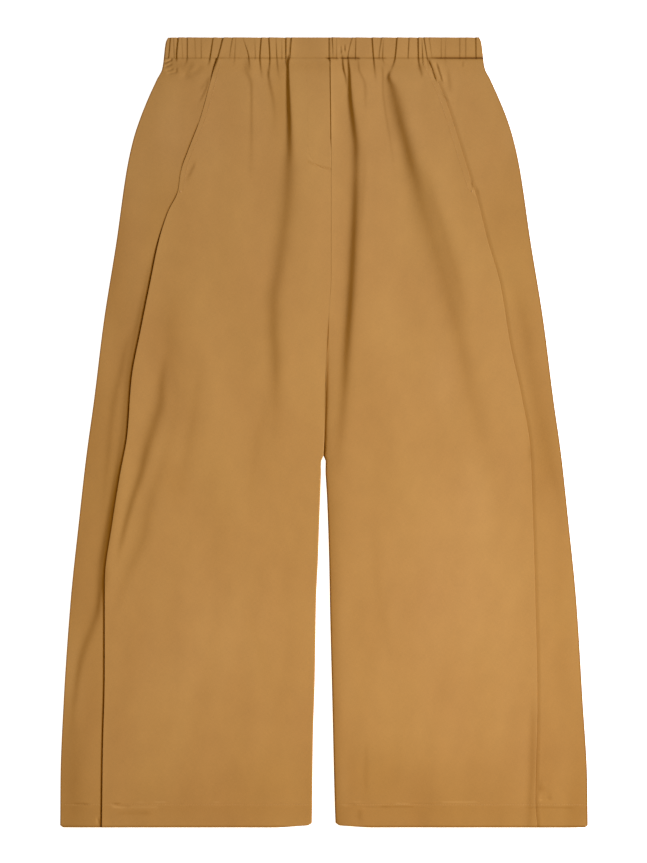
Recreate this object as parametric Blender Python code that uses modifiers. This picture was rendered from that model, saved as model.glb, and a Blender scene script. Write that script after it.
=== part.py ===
"""Parachute pants laid out flat with the front up, as seven cloth pieces.

The garment lies on the plane z = 0 with the waist towards +Y. Right and left are the
wearer's: the right leg is on the -X side. Every piece is an open outer skin, worked out
from the sizes and tables below, that Solidify thickens inwards to a closed wall.
All sizes are in metres.
"""
import math

import bpy
import numpy as np

# Walls and gaps
CLOTH = 0.0011  # one layer of cloth
HEM_CLOTH = 0.0017  # cloth turned up and pressed double
BAND_CLOTH = 0.0020  # elastic inside its casing
SEAM_GAP = 0.0005  # between pieces joined edge to edge
LAYER_GAP = 0.0005  # between pieces that lie on each other
FLY_GAP = 0.0004  # between the fly flap and the panel below it

# Heights down the garment
WAIST_TOP = 0.4734
WAIST_SEAM = 0.4496
FLY_FOOT = 0.3150
CROTCH = 0.1900
LEGS_PART = -0.0310
HEM_STITCH = -0.4460
HEM_END = -0.4734

# Widths
LAP = 0.009  # how far the back panel runs on under the edge of the front panel
FLY_WIDTH = 0.0285
CENTRE_LAP = 0.0035  # how far the left leg lies under the right one below the crotch
EDGE_ROLL = 0.011  # width over which a leg's inner edge rolls down
LIFT_REACH = 0.030  # how far the step at the side seam is felt in the front panel
DROP_REACH = 0.015  # and in the strip beside it
SIDE_EASE = 0.006  # strip beside a folded side that the folds leave smooth
SEAM_STIFFNESS = 0.006  # width over which a side seam flattens the folds
FOLD_STEPS = 6  # facets round a folded side

# Stretches down the garment over which one form turns into another
UNDERLAP_RUN = 0.050  # the left leg slips under the right one, at each end of the lap
CROTCH_RUN = 0.030  # the inner edges start to roll down at the crotch
OPEN_LEG_RUN = 0.020  # the right leg comes off the left one
HEM_RUN = 0.030  # the cloth is lifted by the double hem under it
HEM_LAP_RUN = 0.015  # the lap at the side seam grows with the hem
HEM_LAP_START = 0.020  # above the hem's stitching

# The recess for the fly flap in the right front panel
RECESS_MARGIN = 0.006
RECESS_SLOPE = 0.004
RECESS_FOOT_MARGIN = 0.008
RECESS_FOOT_SLOPE = 0.005
FLY_CURVE = (0, 30, 55, 72)  # degrees round the curve at the flap's foot

# The plain middle of the front waistband
PLAIN_RIGHT_END = -0.0396
PLAIN_LEFT_END = 0.0060

LEAST_FRONT_LEVEL = 0.0032  # outer skin of the front where a trough would meet the back
LEAST_ROLLED_LEVEL = 0.0024  # the same at a rolled inner edge
LEAST_BAND_LEVEL = 0.0052
FLOOR_SOFTNESS = 0.0004

# Lines down the garment, each row (y, x)
SILHOUETTE_RIGHT = (
    (0.4734, -0.1870), (0.4680, -0.1896), (0.4494, -0.1920), (0.4350, -0.1932),
    (0.4230, -0.1990), (0.3990, -0.2100), (0.3750, -0.2196), (0.3510, -0.2274),
    (0.3150, -0.2352), (0.2310, -0.2472), (0.1350, -0.2625), (0.0390, -0.2745),
    (-0.0300, -0.2840), (-0.1050, -0.2925), (-0.2010, -0.3025), (-0.3210, -0.3108),
    (-0.4170, -0.3147), (-0.4734, -0.3150),
)
SILHOUETTE_LEFT = (
    (0.4734, 0.1860), (0.4680, 0.1884), (0.4494, 0.1908), (0.4360, 0.1920),
    (0.4230, 0.1980), (0.3990, 0.2088), (0.3750, 0.2184), (0.3510, 0.2258),
    (0.3150, 0.2336), (0.2310, 0.2460), (0.1350, 0.2615), (0.0390, 0.2738),
    (-0.0300, 0.2835), (-0.1050, 0.2916), (-0.2010, 0.3012), (-0.3210, 0.3088),
    (-0.4170, 0.3144), (-0.4734, 0.3150),
)
SIDE_SEAM_RIGHT = (
    (0.4496, -0.1280), (0.4290, -0.1338), (0.3750, -0.1488), (0.3390, -0.1625),
    (0.3130, -0.1716), (0.2890, -0.1752), (0.2645, -0.1870), (0.2300, -0.1980),
    (0.1770, -0.2090), (0.1230, -0.2210), (0.0630, -0.2315), (-0.0030, -0.2360),
    (-0.0510, -0.2448), (-0.1110, -0.2544), (-0.1770, -0.2628), (-0.2910, -0.2630),
    (-0.3810, -0.2652), (-0.4734, -0.2664),
)
SIDE_SEAM_LEFT = (
    (0.4496, 0.1222), (0.4050, 0.1428), (0.3810, 0.1512), (0.2970, 0.1776),
    (0.2790, 0.1836), (0.2310, 0.1956), (0.1770, 0.2112), (0.1050, 0.2232),
    (0.0510, 0.2352), (-0.0210, 0.2472), (-0.0810, 0.2496), (-0.2010, 0.2532),
    (-0.3210, 0.2556), (-0.4410, 0.2532), (-0.4734, 0.2556),
)
# Centre front seam, then the inner edge of the right leg, which lies on the left one
CENTRE_LINE = (
    (0.4734, 0.0078), (0.4494, 0.0078), (0.3390, 0.0088), (0.1900, 0.0088),
    (0.1230, 0.0046), (0.0680, 0.0029), (0.0200, 0.0014), (-0.0290, -0.0006),
    (-0.0350, -0.0038), (-0.0810, -0.0060), (-0.1530, -0.0084), (-0.2010, -0.0106),
    (-0.2970, -0.0122), (-0.3690, -0.0144), (-0.4734, -0.0156),
)
# Inner edge of the left leg's own tube below the point where the legs part
INSEAM_LEFT = (
    (-0.0290, 0.0016), (-0.0570, 0.0036), (-0.0810, 0.0050), (-0.1530, 0.0074),
    (-0.2250, 0.0088), (-0.3210, 0.0112), (-0.4170, 0.0134), (-0.4734, 0.0150),
)

# Outer skin of the front, each row (y, at the sides, in the middle)
LEVELS = (
    (0.4734, 0.0062, 0.0062), (0.4494, 0.0060, 0.0064), (0.3990, 0.0050, 0.0062),
    (0.3150, 0.0040, 0.0058), (0.1350, 0.0036, 0.0056), (-0.2010, 0.0036, 0.0052),
    (-0.4200, 0.0041, 0.0052), (-0.4734, 0.0049, 0.0054),
)
SIDE_REACH = 0.030  # how fast the front rises from its folded sides
INNER_EDGE_LEVEL = 0.0026  # outer skin at the rolled inner edge of a leg
INNER_HEM_LEVEL = 0.0039  # the same where the hem is double
LAID_OVER_LEVEL = 0.0054  # right leg's edge where it lies on the left leg

# Folds and troughs, each row (y, x, height, width to the -X side, width to the +X side)
FOLDS = {
    "beside the fly": (
        (0.4734, -0.0456, -0.0008, 0.003, 0.003),
        (0.4494, -0.0432, -0.0016, 0.006, 0.004),
        (0.3690, -0.0432, -0.0022, 0.010, 0.005),
        (0.3150, -0.0485, -0.0020, 0.012, 0.007),
        (0.2310, -0.0528, -0.0014, 0.014, 0.010),
        (0.1350, -0.0624, -0.0009, 0.016, 0.014),
        (0.0600, -0.0520, 0.0, 0.020, 0.020),
    ),
    "left of the centre front": (
        (0.4734, 0.0300, -0.0006, 0.003, 0.003),
        (0.4494, 0.0280, -0.0014, 0.004, 0.004),
        (0.3870, 0.0338, -0.0021, 0.006, 0.005),
        (0.3390, 0.0370, -0.0022, 0.008, 0.010),
        (0.2790, 0.0375, -0.0020, 0.009, 0.012),
        (0.2190, 0.0352, -0.0014, 0.010, 0.010),
        (0.1350, 0.0300, -0.0009, 0.009, 0.010),
        (0.0030, 0.0240, 0.0, 0.010, 0.010),
    ),
    "short one by the fly": (
        (0.4560, 0.0222, 0.0, 0.003, 0.003),
        (0.4480, 0.0225, -0.0009, 0.003, 0.003),
        (0.4200, 0.0260, 0.0, 0.004, 0.004),
    ),
    "long slope of the left thigh": (
        (0.4734, 0.0876, -0.0008, 0.003, 0.003),
        (0.4470, 0.0840, -0.0014, 0.004, 0.005),
        (0.4280, 0.0775, -0.0018, 0.005, 0.008),
        (0.3990, 0.0850, -0.0024, 0.006, 0.016),
        (0.3450, 0.0990, -0.0026, 0.007, 0.020),
        (0.3030, 0.1130, -0.0024, 0.008, 0.022),
        (0.2250, 0.1375, -0.0020, 0.008, 0.022),
        (0.1710, 0.1435, -0.0016, 0.009, 0.024),
        (0.0870, 0.1720, -0.0012, 0.014, 0.028),
        (-0.0450, 0.2010, -0.0006, 0.020, 0.030),
        (-0.1700, 0.2100, 0.0, 0.030, 0.030),
    ),
    "crest above that slope": (
        (0.4400, 0.1000, 0.0, 0.012, 0.020),
        (0.3900, 0.1180, 0.0012, 0.014, 0.026),
        (0.3200, 0.1400, 0.0017, 0.016, 0.030),
        (0.2100, 0.1700, 0.0014, 0.018, 0.034),
        (0.0900, 0.2000, 0.0008, 0.020, 0.036),
        (-0.0600, 0.2200, 0.0, 0.024, 0.040),
    ),
    "crease before that slope": (
        (0.4320, 0.0740, 0.0, 0.004, 0.004),
        (0.4000, 0.0755, -0.0006, 0.004, 0.006),
        (0.3300, 0.0840, -0.0007, 0.005, 0.006),
        (0.2500, 0.1050, -0.0005, 0.006, 0.006),
        (0.1900, 0.1230, 0.0, 0.006, 0.006),
    ),
    "slanting fold of the right thigh": (
        (0.1300, -0.1930, 0.0, 0.008, 0.010),
        (0.0570, -0.2004, -0.0010, 0.008, 0.012),
        (-0.0030, -0.2088, -0.0013, 0.008, 0.014),
        (-0.0570, -0.2240, -0.0010, 0.008, 0.014),
        (-0.1400, -0.2440, 0.0, 0.008, 0.012),
    ),
    "second slanting fold": (
        (0.0300, -0.1700, 0.0, 0.010, 0.014),
        (-0.0600, -0.2000, -0.0007, 0.010, 0.016),
        (-0.1500, -0.2360, -0.0006, 0.010, 0.016),
        (-0.2300, -0.2560, 0.0, 0.010, 0.012),
    ),
    "crease in the right strip": (
        (0.1700, -0.2400, 0.0, 0.005, 0.006),
        (0.0570, -0.2560, -0.0006, 0.006, 0.006),
        (-0.0210, -0.2735, -0.0006, 0.006, 0.006),
        (-0.1000, -0.2820, 0.0, 0.005, 0.005),
    ),
    "branch in the right strip": (
        (-0.1600, -0.2600, 0.0, 0.006, 0.006),
        (-0.2250, -0.2748, -0.0007, 0.006, 0.007),
        (-0.2730, -0.2868, -0.0006, 0.006, 0.007),
        (-0.3400, -0.3000, 0.0, 0.005, 0.006),
    ),
    "swell of the left leg": (
        (0.0300, 0.1300, 0.0, 0.040, 0.040),
        (-0.0900, 0.1650, 0.0010, 0.040, 0.045),
        (-0.2400, 0.2000, 0.0010, 0.040, 0.035),
        (-0.3600, 0.2200, 0.0, 0.030, 0.030),
    ),
    "hollow above the left hem": (
        (-0.2900, 0.2260, 0.0, 0.020, 0.014),
        (-0.3600, 0.2310, -0.0008, 0.020, 0.014),
        (-0.4400, 0.2340, 0.0, 0.016, 0.012),
    ),
    "swell of the right leg": (
        (0.2000, -0.1000, 0.0, 0.045, 0.040),
        (0.0000, -0.1200, 0.0009, 0.045, 0.050),
        (-0.2000, -0.1350, 0.0009, 0.050, 0.060),
        (-0.4000, -0.1400, 0.0, 0.050, 0.060),
    ),
    "soft hollow of the right front": (
        (0.4300, -0.0930, 0.0, 0.008, 0.008),
        (0.3700, -0.0920, -0.0006, 0.010, 0.008),
        (0.2600, -0.0960, -0.0006, 0.014, 0.010),
        (0.1600, -0.1000, 0.0, 0.014, 0.012),
    ),
}

# Creases that the elastic draws into the front: each row is
# (x at the top edge, x at the waist seam, x at the foot, y of the foot, depth)
FRONT_GATHERS = (
    (-0.1848, -0.1848, -0.1870, 0.4370, 0.0008),
    (-0.1752, -0.1752, -0.1775, 0.4360, 0.0010),
    (-0.1644, -0.1646, -0.1675, 0.4350, 0.0007),
    (-0.1490, -0.1500, -0.1530, 0.4380, 0.0004),
    (-0.1356, -0.1368, -0.1400, 0.4300, 0.0007),
    (-0.1200, -0.1284, -0.1330, 0.4380, 0.0010),
    (-0.1104, -0.1140, -0.1165, 0.4250, 0.0006),
    (-0.0948, -0.0912, -0.0910, 0.3950, 0.0008),
    (-0.0756, -0.0768, -0.0700, 0.4250, 0.0010),
    (-0.0660, -0.0648, -0.0680, 0.4080, 0.0007),
    (0.0156, 0.0156, 0.0160, 0.4300, 0.0007),
    (0.0380, 0.0380, 0.0420, 0.4250, 0.0006),
    (0.0583, 0.0594, 0.0600, 0.4200, 0.0009),
    (0.0684, 0.0655, 0.0655, 0.4380, 0.0008),
    (0.1008, 0.0996, 0.0990, 0.4350, 0.0006),
    (0.1128, 0.1140, 0.1160, 0.4400, 0.0010),
    (0.1248, 0.1272, 0.1300, 0.4360, 0.0007),
    (0.1420, 0.1425, 0.1450, 0.4380, 0.0004),
    (0.1638, 0.1638, 0.1660, 0.4380, 0.0008),
    (0.1698, 0.1700, 0.1730, 0.4340, 0.0007),
    (0.1812, 0.1812, 0.1835, 0.4370, 0.0008),
)
GATHER_WIDTH = 0.0022
GATHER_SPREAD = 2.2  # how much wider a crease is at its foot
GATHER_FLANK = 1.3  # where the band's columns stand beside a crease, in crease widths
GATHER_ROOM = 2.2  # the least room between a crease and the end of the band, in crease widths

# Creases of the back waistband, spaced unevenly by a slow wave
BACK_GATHERS = 24
BACK_PITCH_SWING = 0.30
BACK_PITCH_PHASE = 2.1  # radians from one crease to the next
BACK_MARGIN = 0.008
BACK_DEPTH = 0.0007

# Skin grids
FRONT_COLUMNS = 34
STRIP_COLUMNS = 12
UNDER_COLUMNS = 8
FLY_COLUMNS = 7
BAND_ROWS = 3
PLAIN_COLUMNS = 8
PANEL_ROWS = (
    0.4430, 0.4345, 0.4230, 0.4070, 0.3870, 0.3620, 0.3380, 0.3130, 0.3060, 0.2750, 0.2300,
    0.1780, 0.1240, 0.0700, 0.0120, -0.0290, -0.0420, -0.1050, -0.1750, -0.2450, -0.3150,
    -0.3850, -0.4300, HEM_STITCH, -0.4490,
)

# Base colour, roughness and metallic value of each piece
FINISHES = {
    "front_right": ((0.49, 0.25, 0.075), 0.86, 0.0),
    "front_left": ((0.51, 0.26, 0.080), 0.86, 0.0),
    "back_right": ((0.45, 0.22, 0.062), 0.86, 0.0),
    "back_left": ((0.47, 0.24, 0.070), 0.86, 0.0),
    "fly": ((0.50, 0.25, 0.075), 0.86, 0.0),
    "waistband_front": ((0.47, 0.23, 0.068), 0.84, 0.0),
    "waistband_elastic": ((0.46, 0.23, 0.067), 0.84, 0.0),
}
SMOOTH_ANGLE = math.radians(50)


def along(rows, y, column=1):
    """A table's column at the heights y, on a smooth curve that never overshoots its rows."""
    table = np.array(rows)[::-1]
    knots = table[:, 0]
    values = table[:, column]
    steps = np.diff(values) / np.diff(knots)
    product = steps[:-1] * steps[1:]
    total = np.where(product > 0, steps[:-1] + steps[1:], 1.0)
    middle = np.where(product > 0, 2 * product / total, 0.0)
    slopes = np.concatenate([steps[:1], middle, steps[-1:]])
    y = np.clip(y, knots[0], knots[-1])
    low = np.clip(np.searchsorted(knots, y, side="right") - 1, 0, len(knots) - 2)
    span = knots[low + 1] - knots[low]
    t = (y - knots[low]) / span
    start = values[low] * (1 + 2 * t) + slopes[low] * span * t
    end = values[low + 1] * (3 - 2 * t) - slopes[low + 1] * span * (1 - t)
    return start * (1 - t) ** 2 + end * t ** 2


def smooth(t):
    """0 below 0, 1 above 1, and a smooth step between."""
    t = np.clip(t, 0.0, 1.0)
    return t * t * (3 - 2 * t)


def trough(rows, x, y):
    """Height that one fold adds at x, y: a soft ridge or trough with two unlike flanks."""
    inside = (y <= rows[0][0]) & (y >= rows[-1][0])
    offset = x - along(rows, y, 1)
    width = np.where(offset < 0, along(rows, y, 3), along(rows, y, 4))
    return np.where(inside, along(rows, y, 2) * np.exp(-(offset / width) ** 2), 0.0)


def gather_rows(gather):
    """The fold rows of one crease of the elastic."""
    top_x, seam_x, foot_x, foot_y, depth = gather
    wide = GATHER_WIDTH * GATHER_SPREAD
    return (
        (WAIST_TOP, top_x, -depth, GATHER_WIDTH, GATHER_WIDTH),
        (WAIST_SEAM, seam_x, -depth, GATHER_WIDTH, GATHER_WIDTH),
        (foot_y, foot_x, 0.0, wide, wide),
    )


def relief(x, y):
    """All folds and creases of the front at x, y."""
    shaped = [trough(rows, x, y) for rows in FOLDS.values()]
    drawn = [trough(gather_rows(gather), x, y) for gather in FRONT_GATHERS]
    from_seam = np.minimum(np.abs(x - seam_line(-1, y)), np.abs(x - seam_line(1, y)))
    stiff = np.where(y < WAIST_SEAM, np.exp(-(from_seam / SEAM_STIFFNESS) ** 2), 0.0)
    return (sum(shaped) + sum(drawn)) * (1 - stiff)


def at_least(z, least):
    """z, eased so that it never goes below the level least."""
    return least + FLOOR_SOFTNESS * np.logaddexp(0.0, (z - least) / FLOOR_SOFTNESS)


def blend(start, end, share):
    """start where share is 0, end where it is 1."""
    return start + (end - start) * share


def level(x, y):
    """Outer skin of the front with its folds, before any seam shapes it."""
    side = np.minimum(x - along(SILHOUETTE_RIGHT, y), along(SILHOUETTE_LEFT, y) - x)
    rise = 1 - np.exp(-np.maximum(side, 0.0) / SIDE_REACH)
    edge = along(LEVELS, y, 1)
    folds = relief(x, y) * smooth(side / SIDE_EASE)
    return blend(edge, along(LEVELS, y, 2), rise) + folds


def seam_line(side, y):
    """x of the forward side seam; side is -1 on the right leg and 1 on the left."""
    return along(SIDE_SEAM_RIGHT if side < 0 else SIDE_SEAM_LEFT, y)


def silhouette(side, y):
    """x of the folded outer side."""
    return along(SILHOUETTE_RIGHT if side < 0 else SILHOUETTE_LEFT, y)


def inner_line(side, y, lapped):
    """x of a panel's edge on the centre seam and the inseam.

    lapped is True for the left front panel's edge, which runs on under the right leg.
    """
    centre = along(CENTRE_LINE, y)
    if side < 0:
        return centre - SEAM_GAP / 2
    under = smooth((CROTCH - y) / UNDERLAP_RUN) * smooth((y - LEGS_PART) / UNDERLAP_RUN)
    joined = centre + SEAM_GAP / 2 - CENTRE_LAP * under * lapped
    return np.where(y > LEGS_PART, joined, along(INSEAM_LEFT, y))


def lap_height(y):
    """Height from the back panel's skin to the front panel's where they lie on each other."""
    doubled = smooth((HEM_STITCH + HEM_LAP_START - y) / HEM_LAP_RUN)
    return LAYER_GAP + blend(CLOTH, HEM_CLOTH, doubled)


def front_level(side, x, y):
    """Outer skin of a front panel, with its step at the side seam and its rolled inner edge."""
    lap = lap_height(y)
    from_seam = np.maximum((seam_line(side, y) - x) * side, 0.0)
    z = level(x, y) + lap / 2 * np.exp(-from_seam / LIFT_REACH)
    rolled = blend(INNER_EDGE_LEVEL, INNER_HEM_LEVEL, smooth((HEM_STITCH + HEM_RUN - y) / HEM_RUN))
    open_leg = smooth((LEGS_PART - y) / OPEN_LEG_RUN)
    target = blend(LAID_OVER_LEVEL, rolled, open_leg) if side < 0 else rolled
    below_crotch = smooth((CROTCH + CROTCH_RUN / 2 - y) / CROTCH_RUN)
    from_edge = np.maximum((x - inner_line(side, y, side > 0)) * side, 0.0)
    near = below_crotch * (1 - smooth(from_edge / EDGE_ROLL))
    return at_least(blend(z, target, near), blend(LEAST_FRONT_LEVEL, LEAST_ROLLED_LEVEL, near))


def strip_level(side, x, y):
    """Outer skin of a back panel where it comes forward, beside and under the front panel."""
    lap = lap_height(y)
    outside = (x - seam_line(side, y)) * side
    beside = level(x, y) - lap / 2 * np.exp(-np.maximum(outside, 0.0) / DROP_REACH)
    under = level(x, y) + lap / 2 * np.exp(-np.maximum(-outside, 0.0) / LIFT_REACH) - lap
    return np.where(outside > 0, beside, under)


def fly_edge(y):
    """x of the fly flap's stitched edge, which curves in to the centre seam at its foot."""
    turn = np.clip((y - FLY_FOOT) / FLY_WIDTH, 0.0, 1.0)
    bow = 1 - np.sqrt(np.maximum(1 - (1 - turn) ** 2, 0.0))
    return along(CENTRE_LINE, y) - FLY_WIDTH * (1 - bow)


def fly_recess(x, y):
    """1 where the right front panel lies under the fly flap, 0 well away from it."""
    across = smooth((x - along(CENTRE_LINE, y) + FLY_WIDTH + RECESS_MARGIN) / RECESS_SLOPE)
    down = smooth((y - FLY_FOOT + RECESS_FOOT_MARGIN) / RECESS_FOOT_SLOPE)
    return across * down


def covered_front_level(x, y):
    """Outer skin of the right front panel, sunk where the fly flap lies on it."""
    return front_level(-1, x, y) - (CLOTH + FLY_GAP) * fly_recess(x, y)


def collection_for(name):
    """A new collection in the scene."""
    made = bpy.data.collections.new(name)
    bpy.context.scene.collection.children.link(made)
    return made


def finish_for(name):
    """The Principled material of one piece."""
    colour, roughness, metallic = FINISHES[name]
    material = bpy.data.materials.new(name)
    material.use_nodes = True
    shader = material.node_tree.nodes["Principled BSDF"]
    shader.inputs["Base Color"].default_value = (*colour, 1.0)
    shader.inputs["Roughness"].default_value = roughness
    shader.inputs["Metallic"].default_value = metallic
    material.diffuse_color = (*colour, 1.0)
    return material


def sheet(name, collection, grid, thickness, flip, thick_rows=None, thin_share=1.0):
    """A named wall of cloth from a grid of points on its outer skin.

    grid has the shape (rows, columns, 3). thick_rows marks the rows that keep the full
    thickness; the others get thin_share of it. flip turns the skin's faces over.
    """
    rows, columns = grid.shape[:2]
    faces = []
    for row in range(rows - 1):
        for column in range(columns - 1):
            corner = row * columns + column
            face = (corner, corner + columns, corner + columns + 1, corner + 1)
            faces.append(face[::-1] if flip else face)
    mesh = bpy.data.meshes.new(name)
    mesh.from_pydata(grid.reshape(-1, 3).tolist(), [], faces)
    piece = bpy.data.objects.new(name, mesh)
    collection.objects.link(piece)
    wall = piece.modifiers.new("wall", "SOLIDIFY")
    wall.thickness = thickness
    wall.offset = -1.0
    wall.use_even_offset = True
    wall.use_quality_normals = True
    if thick_rows is not None:
        group = piece.vertex_groups.new(name="double_cloth")
        for row in range(rows):
            points = list(range(row * columns, (row + 1) * columns))
            group.add(points, 1.0 if thick_rows[row] else 0.0, "REPLACE")
        wall.vertex_group = group.name
        wall.thickness_vertex_group = thin_share
    mesh.shade_smooth()
    mesh.set_sharp_from_angle(angle=SMOOTH_ANGLE)
    mesh.materials.append(finish_for(name))
    return piece


def panel_heights():
    """y of the rows of every panel, from the waist seam to the end of the hem."""
    return np.array((WAIST_SEAM - SEAM_GAP / 2, *PANEL_ROWS, HEM_END))


def front_panel(name, collection, side, height):
    """A front panel: a fan of columns from the side seam to the centre seam and inseam."""
    heights = panel_heights()
    share = np.linspace(0.0, 1.0, FRONT_COLUMNS + 1)
    y = np.repeat(heights[:, None], len(share), axis=1)
    outer = seam_line(side, y)
    x = blend(outer, inner_line(side, y, side > 0), share)
    grid = np.stack([x, y, height(x, y)], axis=2)
    doubled = heights < HEM_STITCH
    sheet(name, collection, grid, HEM_CLOTH, side > 0, doubled, CLOTH / HEM_CLOTH)


def back_panel(name, collection, side):
    """A back panel: flat below, round the folded side, and forward to the side seam."""
    heights = panel_heights()
    y = heights[:, None]
    outer = silhouette(side, y)
    round_level = strip_level(side, outer - side * along(LEVELS, y, 1) / 2, y)
    radius = round_level / 2
    turn_x = outer - side * radius
    across = np.linspace(0.0, 1.0, UNDER_COLUMNS + 1)[:-1]
    below_x = blend(inner_line(side, y, False), turn_x, across)
    angles = np.linspace(-math.pi / 2, math.pi / 2, FOLD_STEPS + 1)
    fold_x = turn_x + side * radius * np.cos(angles)
    fold_z = radius * (1 + np.sin(angles))
    forward = np.linspace(0.0, 1.0, STRIP_COLUMNS + 1)[1:]
    above_x = blend(turn_x, seam_line(side, y) - side * LAP, forward)
    above_y = np.repeat(y, len(forward), axis=1)
    ease = smooth(forward * STRIP_COLUMNS / 2)
    above_z = blend(round_level, strip_level(side, above_x, above_y), ease)
    x = np.concatenate([below_x, fold_x, above_x], axis=1)
    z = np.concatenate([np.zeros_like(below_x), fold_z, above_z], axis=1)
    grid = np.stack([x, np.repeat(y, x.shape[1], axis=1), z], axis=2)
    doubled = heights < HEM_STITCH
    sheet(name, collection, grid, HEM_CLOTH, side > 0, doubled, CLOTH / HEM_CLOTH)


def fly(collection):
    """The fly flap: the right front panel's own surface, which is sunk under it by its wall."""
    panel = panel_heights()
    heights = panel[panel > FLY_FOOT + FLY_WIDTH]
    curve = FLY_FOOT + FLY_WIDTH * (1 - np.sin(np.radians(FLY_CURVE)))
    y = np.concatenate([heights, curve])[:, None]
    share = np.linspace(0.0, 1.0, FLY_COLUMNS + 1)
    x = blend(fly_edge(y), inner_line(-1, y, False), share)
    y = np.repeat(y, len(share), axis=1)
    grid = np.stack([x, y, front_level(-1, x, y)], axis=2)
    sheet("fly", collection, grid, CLOTH, False)


def band_stations(creases, start, end):
    """Pairs (x at the top edge, x at the seam) of the columns between two ends of the band.

    Each crease has a column on each flank and one in its trough.
    """
    flank = GATHER_FLANK * GATHER_WIDTH
    pairs = [(start, start)]
    for top_x, seam_x in creases:
        pairs += [(top_x + shift, seam_x + shift) for shift in (-flank, 0.0, flank)]
    pairs.append((end, end))
    full = pairs[:1]
    for before, after in zip(pairs, pairs[1:]):
        if after[0] - before[0] > 2 * flank:
            full.append(((before[0] + after[0]) / 2, (before[1] + after[1]) / 2))
        full.append(after)
    return np.array(full)


def band_creases(low, high):
    """Pairs (x at the top edge, x at the seam) of the front band's creases from low to high."""
    room = GATHER_ROOM * GATHER_WIDTH
    drawn = [gather[:2] for gather in FRONT_GATHERS]
    drawn += [(rows[0][1], along(rows, WAIST_SEAM)) for rows in FOLDS.values() if rows[0][0] == WAIST_TOP]
    return sorted(pair for pair in drawn if low + room < min(pair) and max(pair) < high - room)


def band_level(x, y):
    """Outer skin of the front of the waistband."""
    return at_least(level(x, y), LEAST_BAND_LEVEL)


def band_turn(side, y):
    """Where the band starts to turn round a side, and the radius of the turn."""
    radius = band_level(silhouette(side, y), y) / 2
    return silhouette(side, y) - side * radius, radius


def band_front(side, end, y, share):
    """x and z of the band's skin from its front end, outwards and round one side."""
    turn_x, radius = band_turn(side, y)
    limits = sorted((end, turn_x[0, 0]))
    columns = band_stations(band_creases(*limits), *limits)[::side]
    x = blend(columns[:, 1], columns[:, 0], share)[:, :-1]
    z = band_level(x, np.repeat(y, x.shape[1], axis=1))
    angles = np.linspace(math.pi / 2, -math.pi / 2, FOLD_STEPS + 1)
    x = np.concatenate([x, turn_x + side * radius * np.cos(angles)], axis=1)
    z = np.concatenate([z, radius * (1 + np.sin(angles))], axis=1)
    return x, z


def band_back(y):
    """x and z of the band's skin under the garment, from the right side to the left one."""
    start = band_turn(-1, y)[0][0, 0]
    end = band_turn(1, y)[0][0, 0]
    swing = [1 + BACK_PITCH_SWING * math.sin(BACK_PITCH_PHASE * k) for k in range(BACK_GATHERS + 1)]
    shares = np.cumsum(swing)[:-1] / sum(swing)
    places = blend(start + BACK_MARGIN, end - BACK_MARGIN, shares)
    columns = band_stations([(place, place) for place in places], start, end)[1:-1, 0]
    x = np.repeat(columns[None], len(y), axis=0)
    nearest = np.min(np.abs(x[:, :, None] - places), axis=2)
    return x, BACK_DEPTH * np.exp(-(nearest / GATHER_WIDTH) ** 2)


def waistband_elastic(collection):
    """The gathered band: over the right front, round the back, and over the left front."""
    share = np.linspace(0.0, 1.0, BAND_ROWS + 1)[:, None]
    y = blend(WAIST_SEAM + SEAM_GAP / 2, WAIST_TOP, share)
    right_x, right_z = band_front(-1, PLAIN_RIGHT_END - SEAM_GAP, y, share)
    back_x, back_z = band_back(y)
    left_x, left_z = band_front(1, PLAIN_LEFT_END + SEAM_GAP, y, share)
    x = np.concatenate([right_x, back_x, left_x[:, ::-1]], axis=1)
    z = np.concatenate([right_z, back_z, left_z[:, ::-1]], axis=1)
    grid = np.stack([x, np.repeat(y, x.shape[1], axis=1), z], axis=2)
    sheet("waistband_elastic", collection, grid, BAND_CLOTH, False)


def waistband_front(collection):
    """The plain piece in the middle of the front waistband."""
    share = np.linspace(0.0, 1.0, PLAIN_COLUMNS + 1)
    x, y = np.meshgrid(
        blend(PLAIN_RIGHT_END, PLAIN_LEFT_END, share),
        np.linspace(WAIST_SEAM + SEAM_GAP / 2, WAIST_TOP, BAND_ROWS + 1),
    )
    grid = np.stack([x, y, band_level(x, y)], axis=2)
    sheet("waistband_front", collection, grid, BAND_CLOTH, True)


def main():
    """Clear the scene and build every piece."""
    for old in list(bpy.data.objects):
        bpy.data.objects.remove(old, do_unlink=True)
    garment = collection_for("parachute_pants")
    front_panel("front_right", garment, -1, covered_front_level)
    front_panel("front_left", garment, 1, lambda x, y: front_level(1, x, y))
    back_panel("back_right", garment, -1)
    back_panel("back_left", garment, 1)
    fly(garment)
    waistband_front(garment)
    waistband_elastic(garment)


main()
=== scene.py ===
"""The look of the parachute pants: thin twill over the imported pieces, its folds and its sewing.

The trousers lie flat on the floor, front up, with the waist towards +Y. Right and left are the
wearer's, so the right leg is on the -X side. Tables are in millimetres and the rest in metres.
"""
import logging
import math
from collections.abc import Callable
from dataclasses import dataclass, field
from enum import Enum

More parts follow.
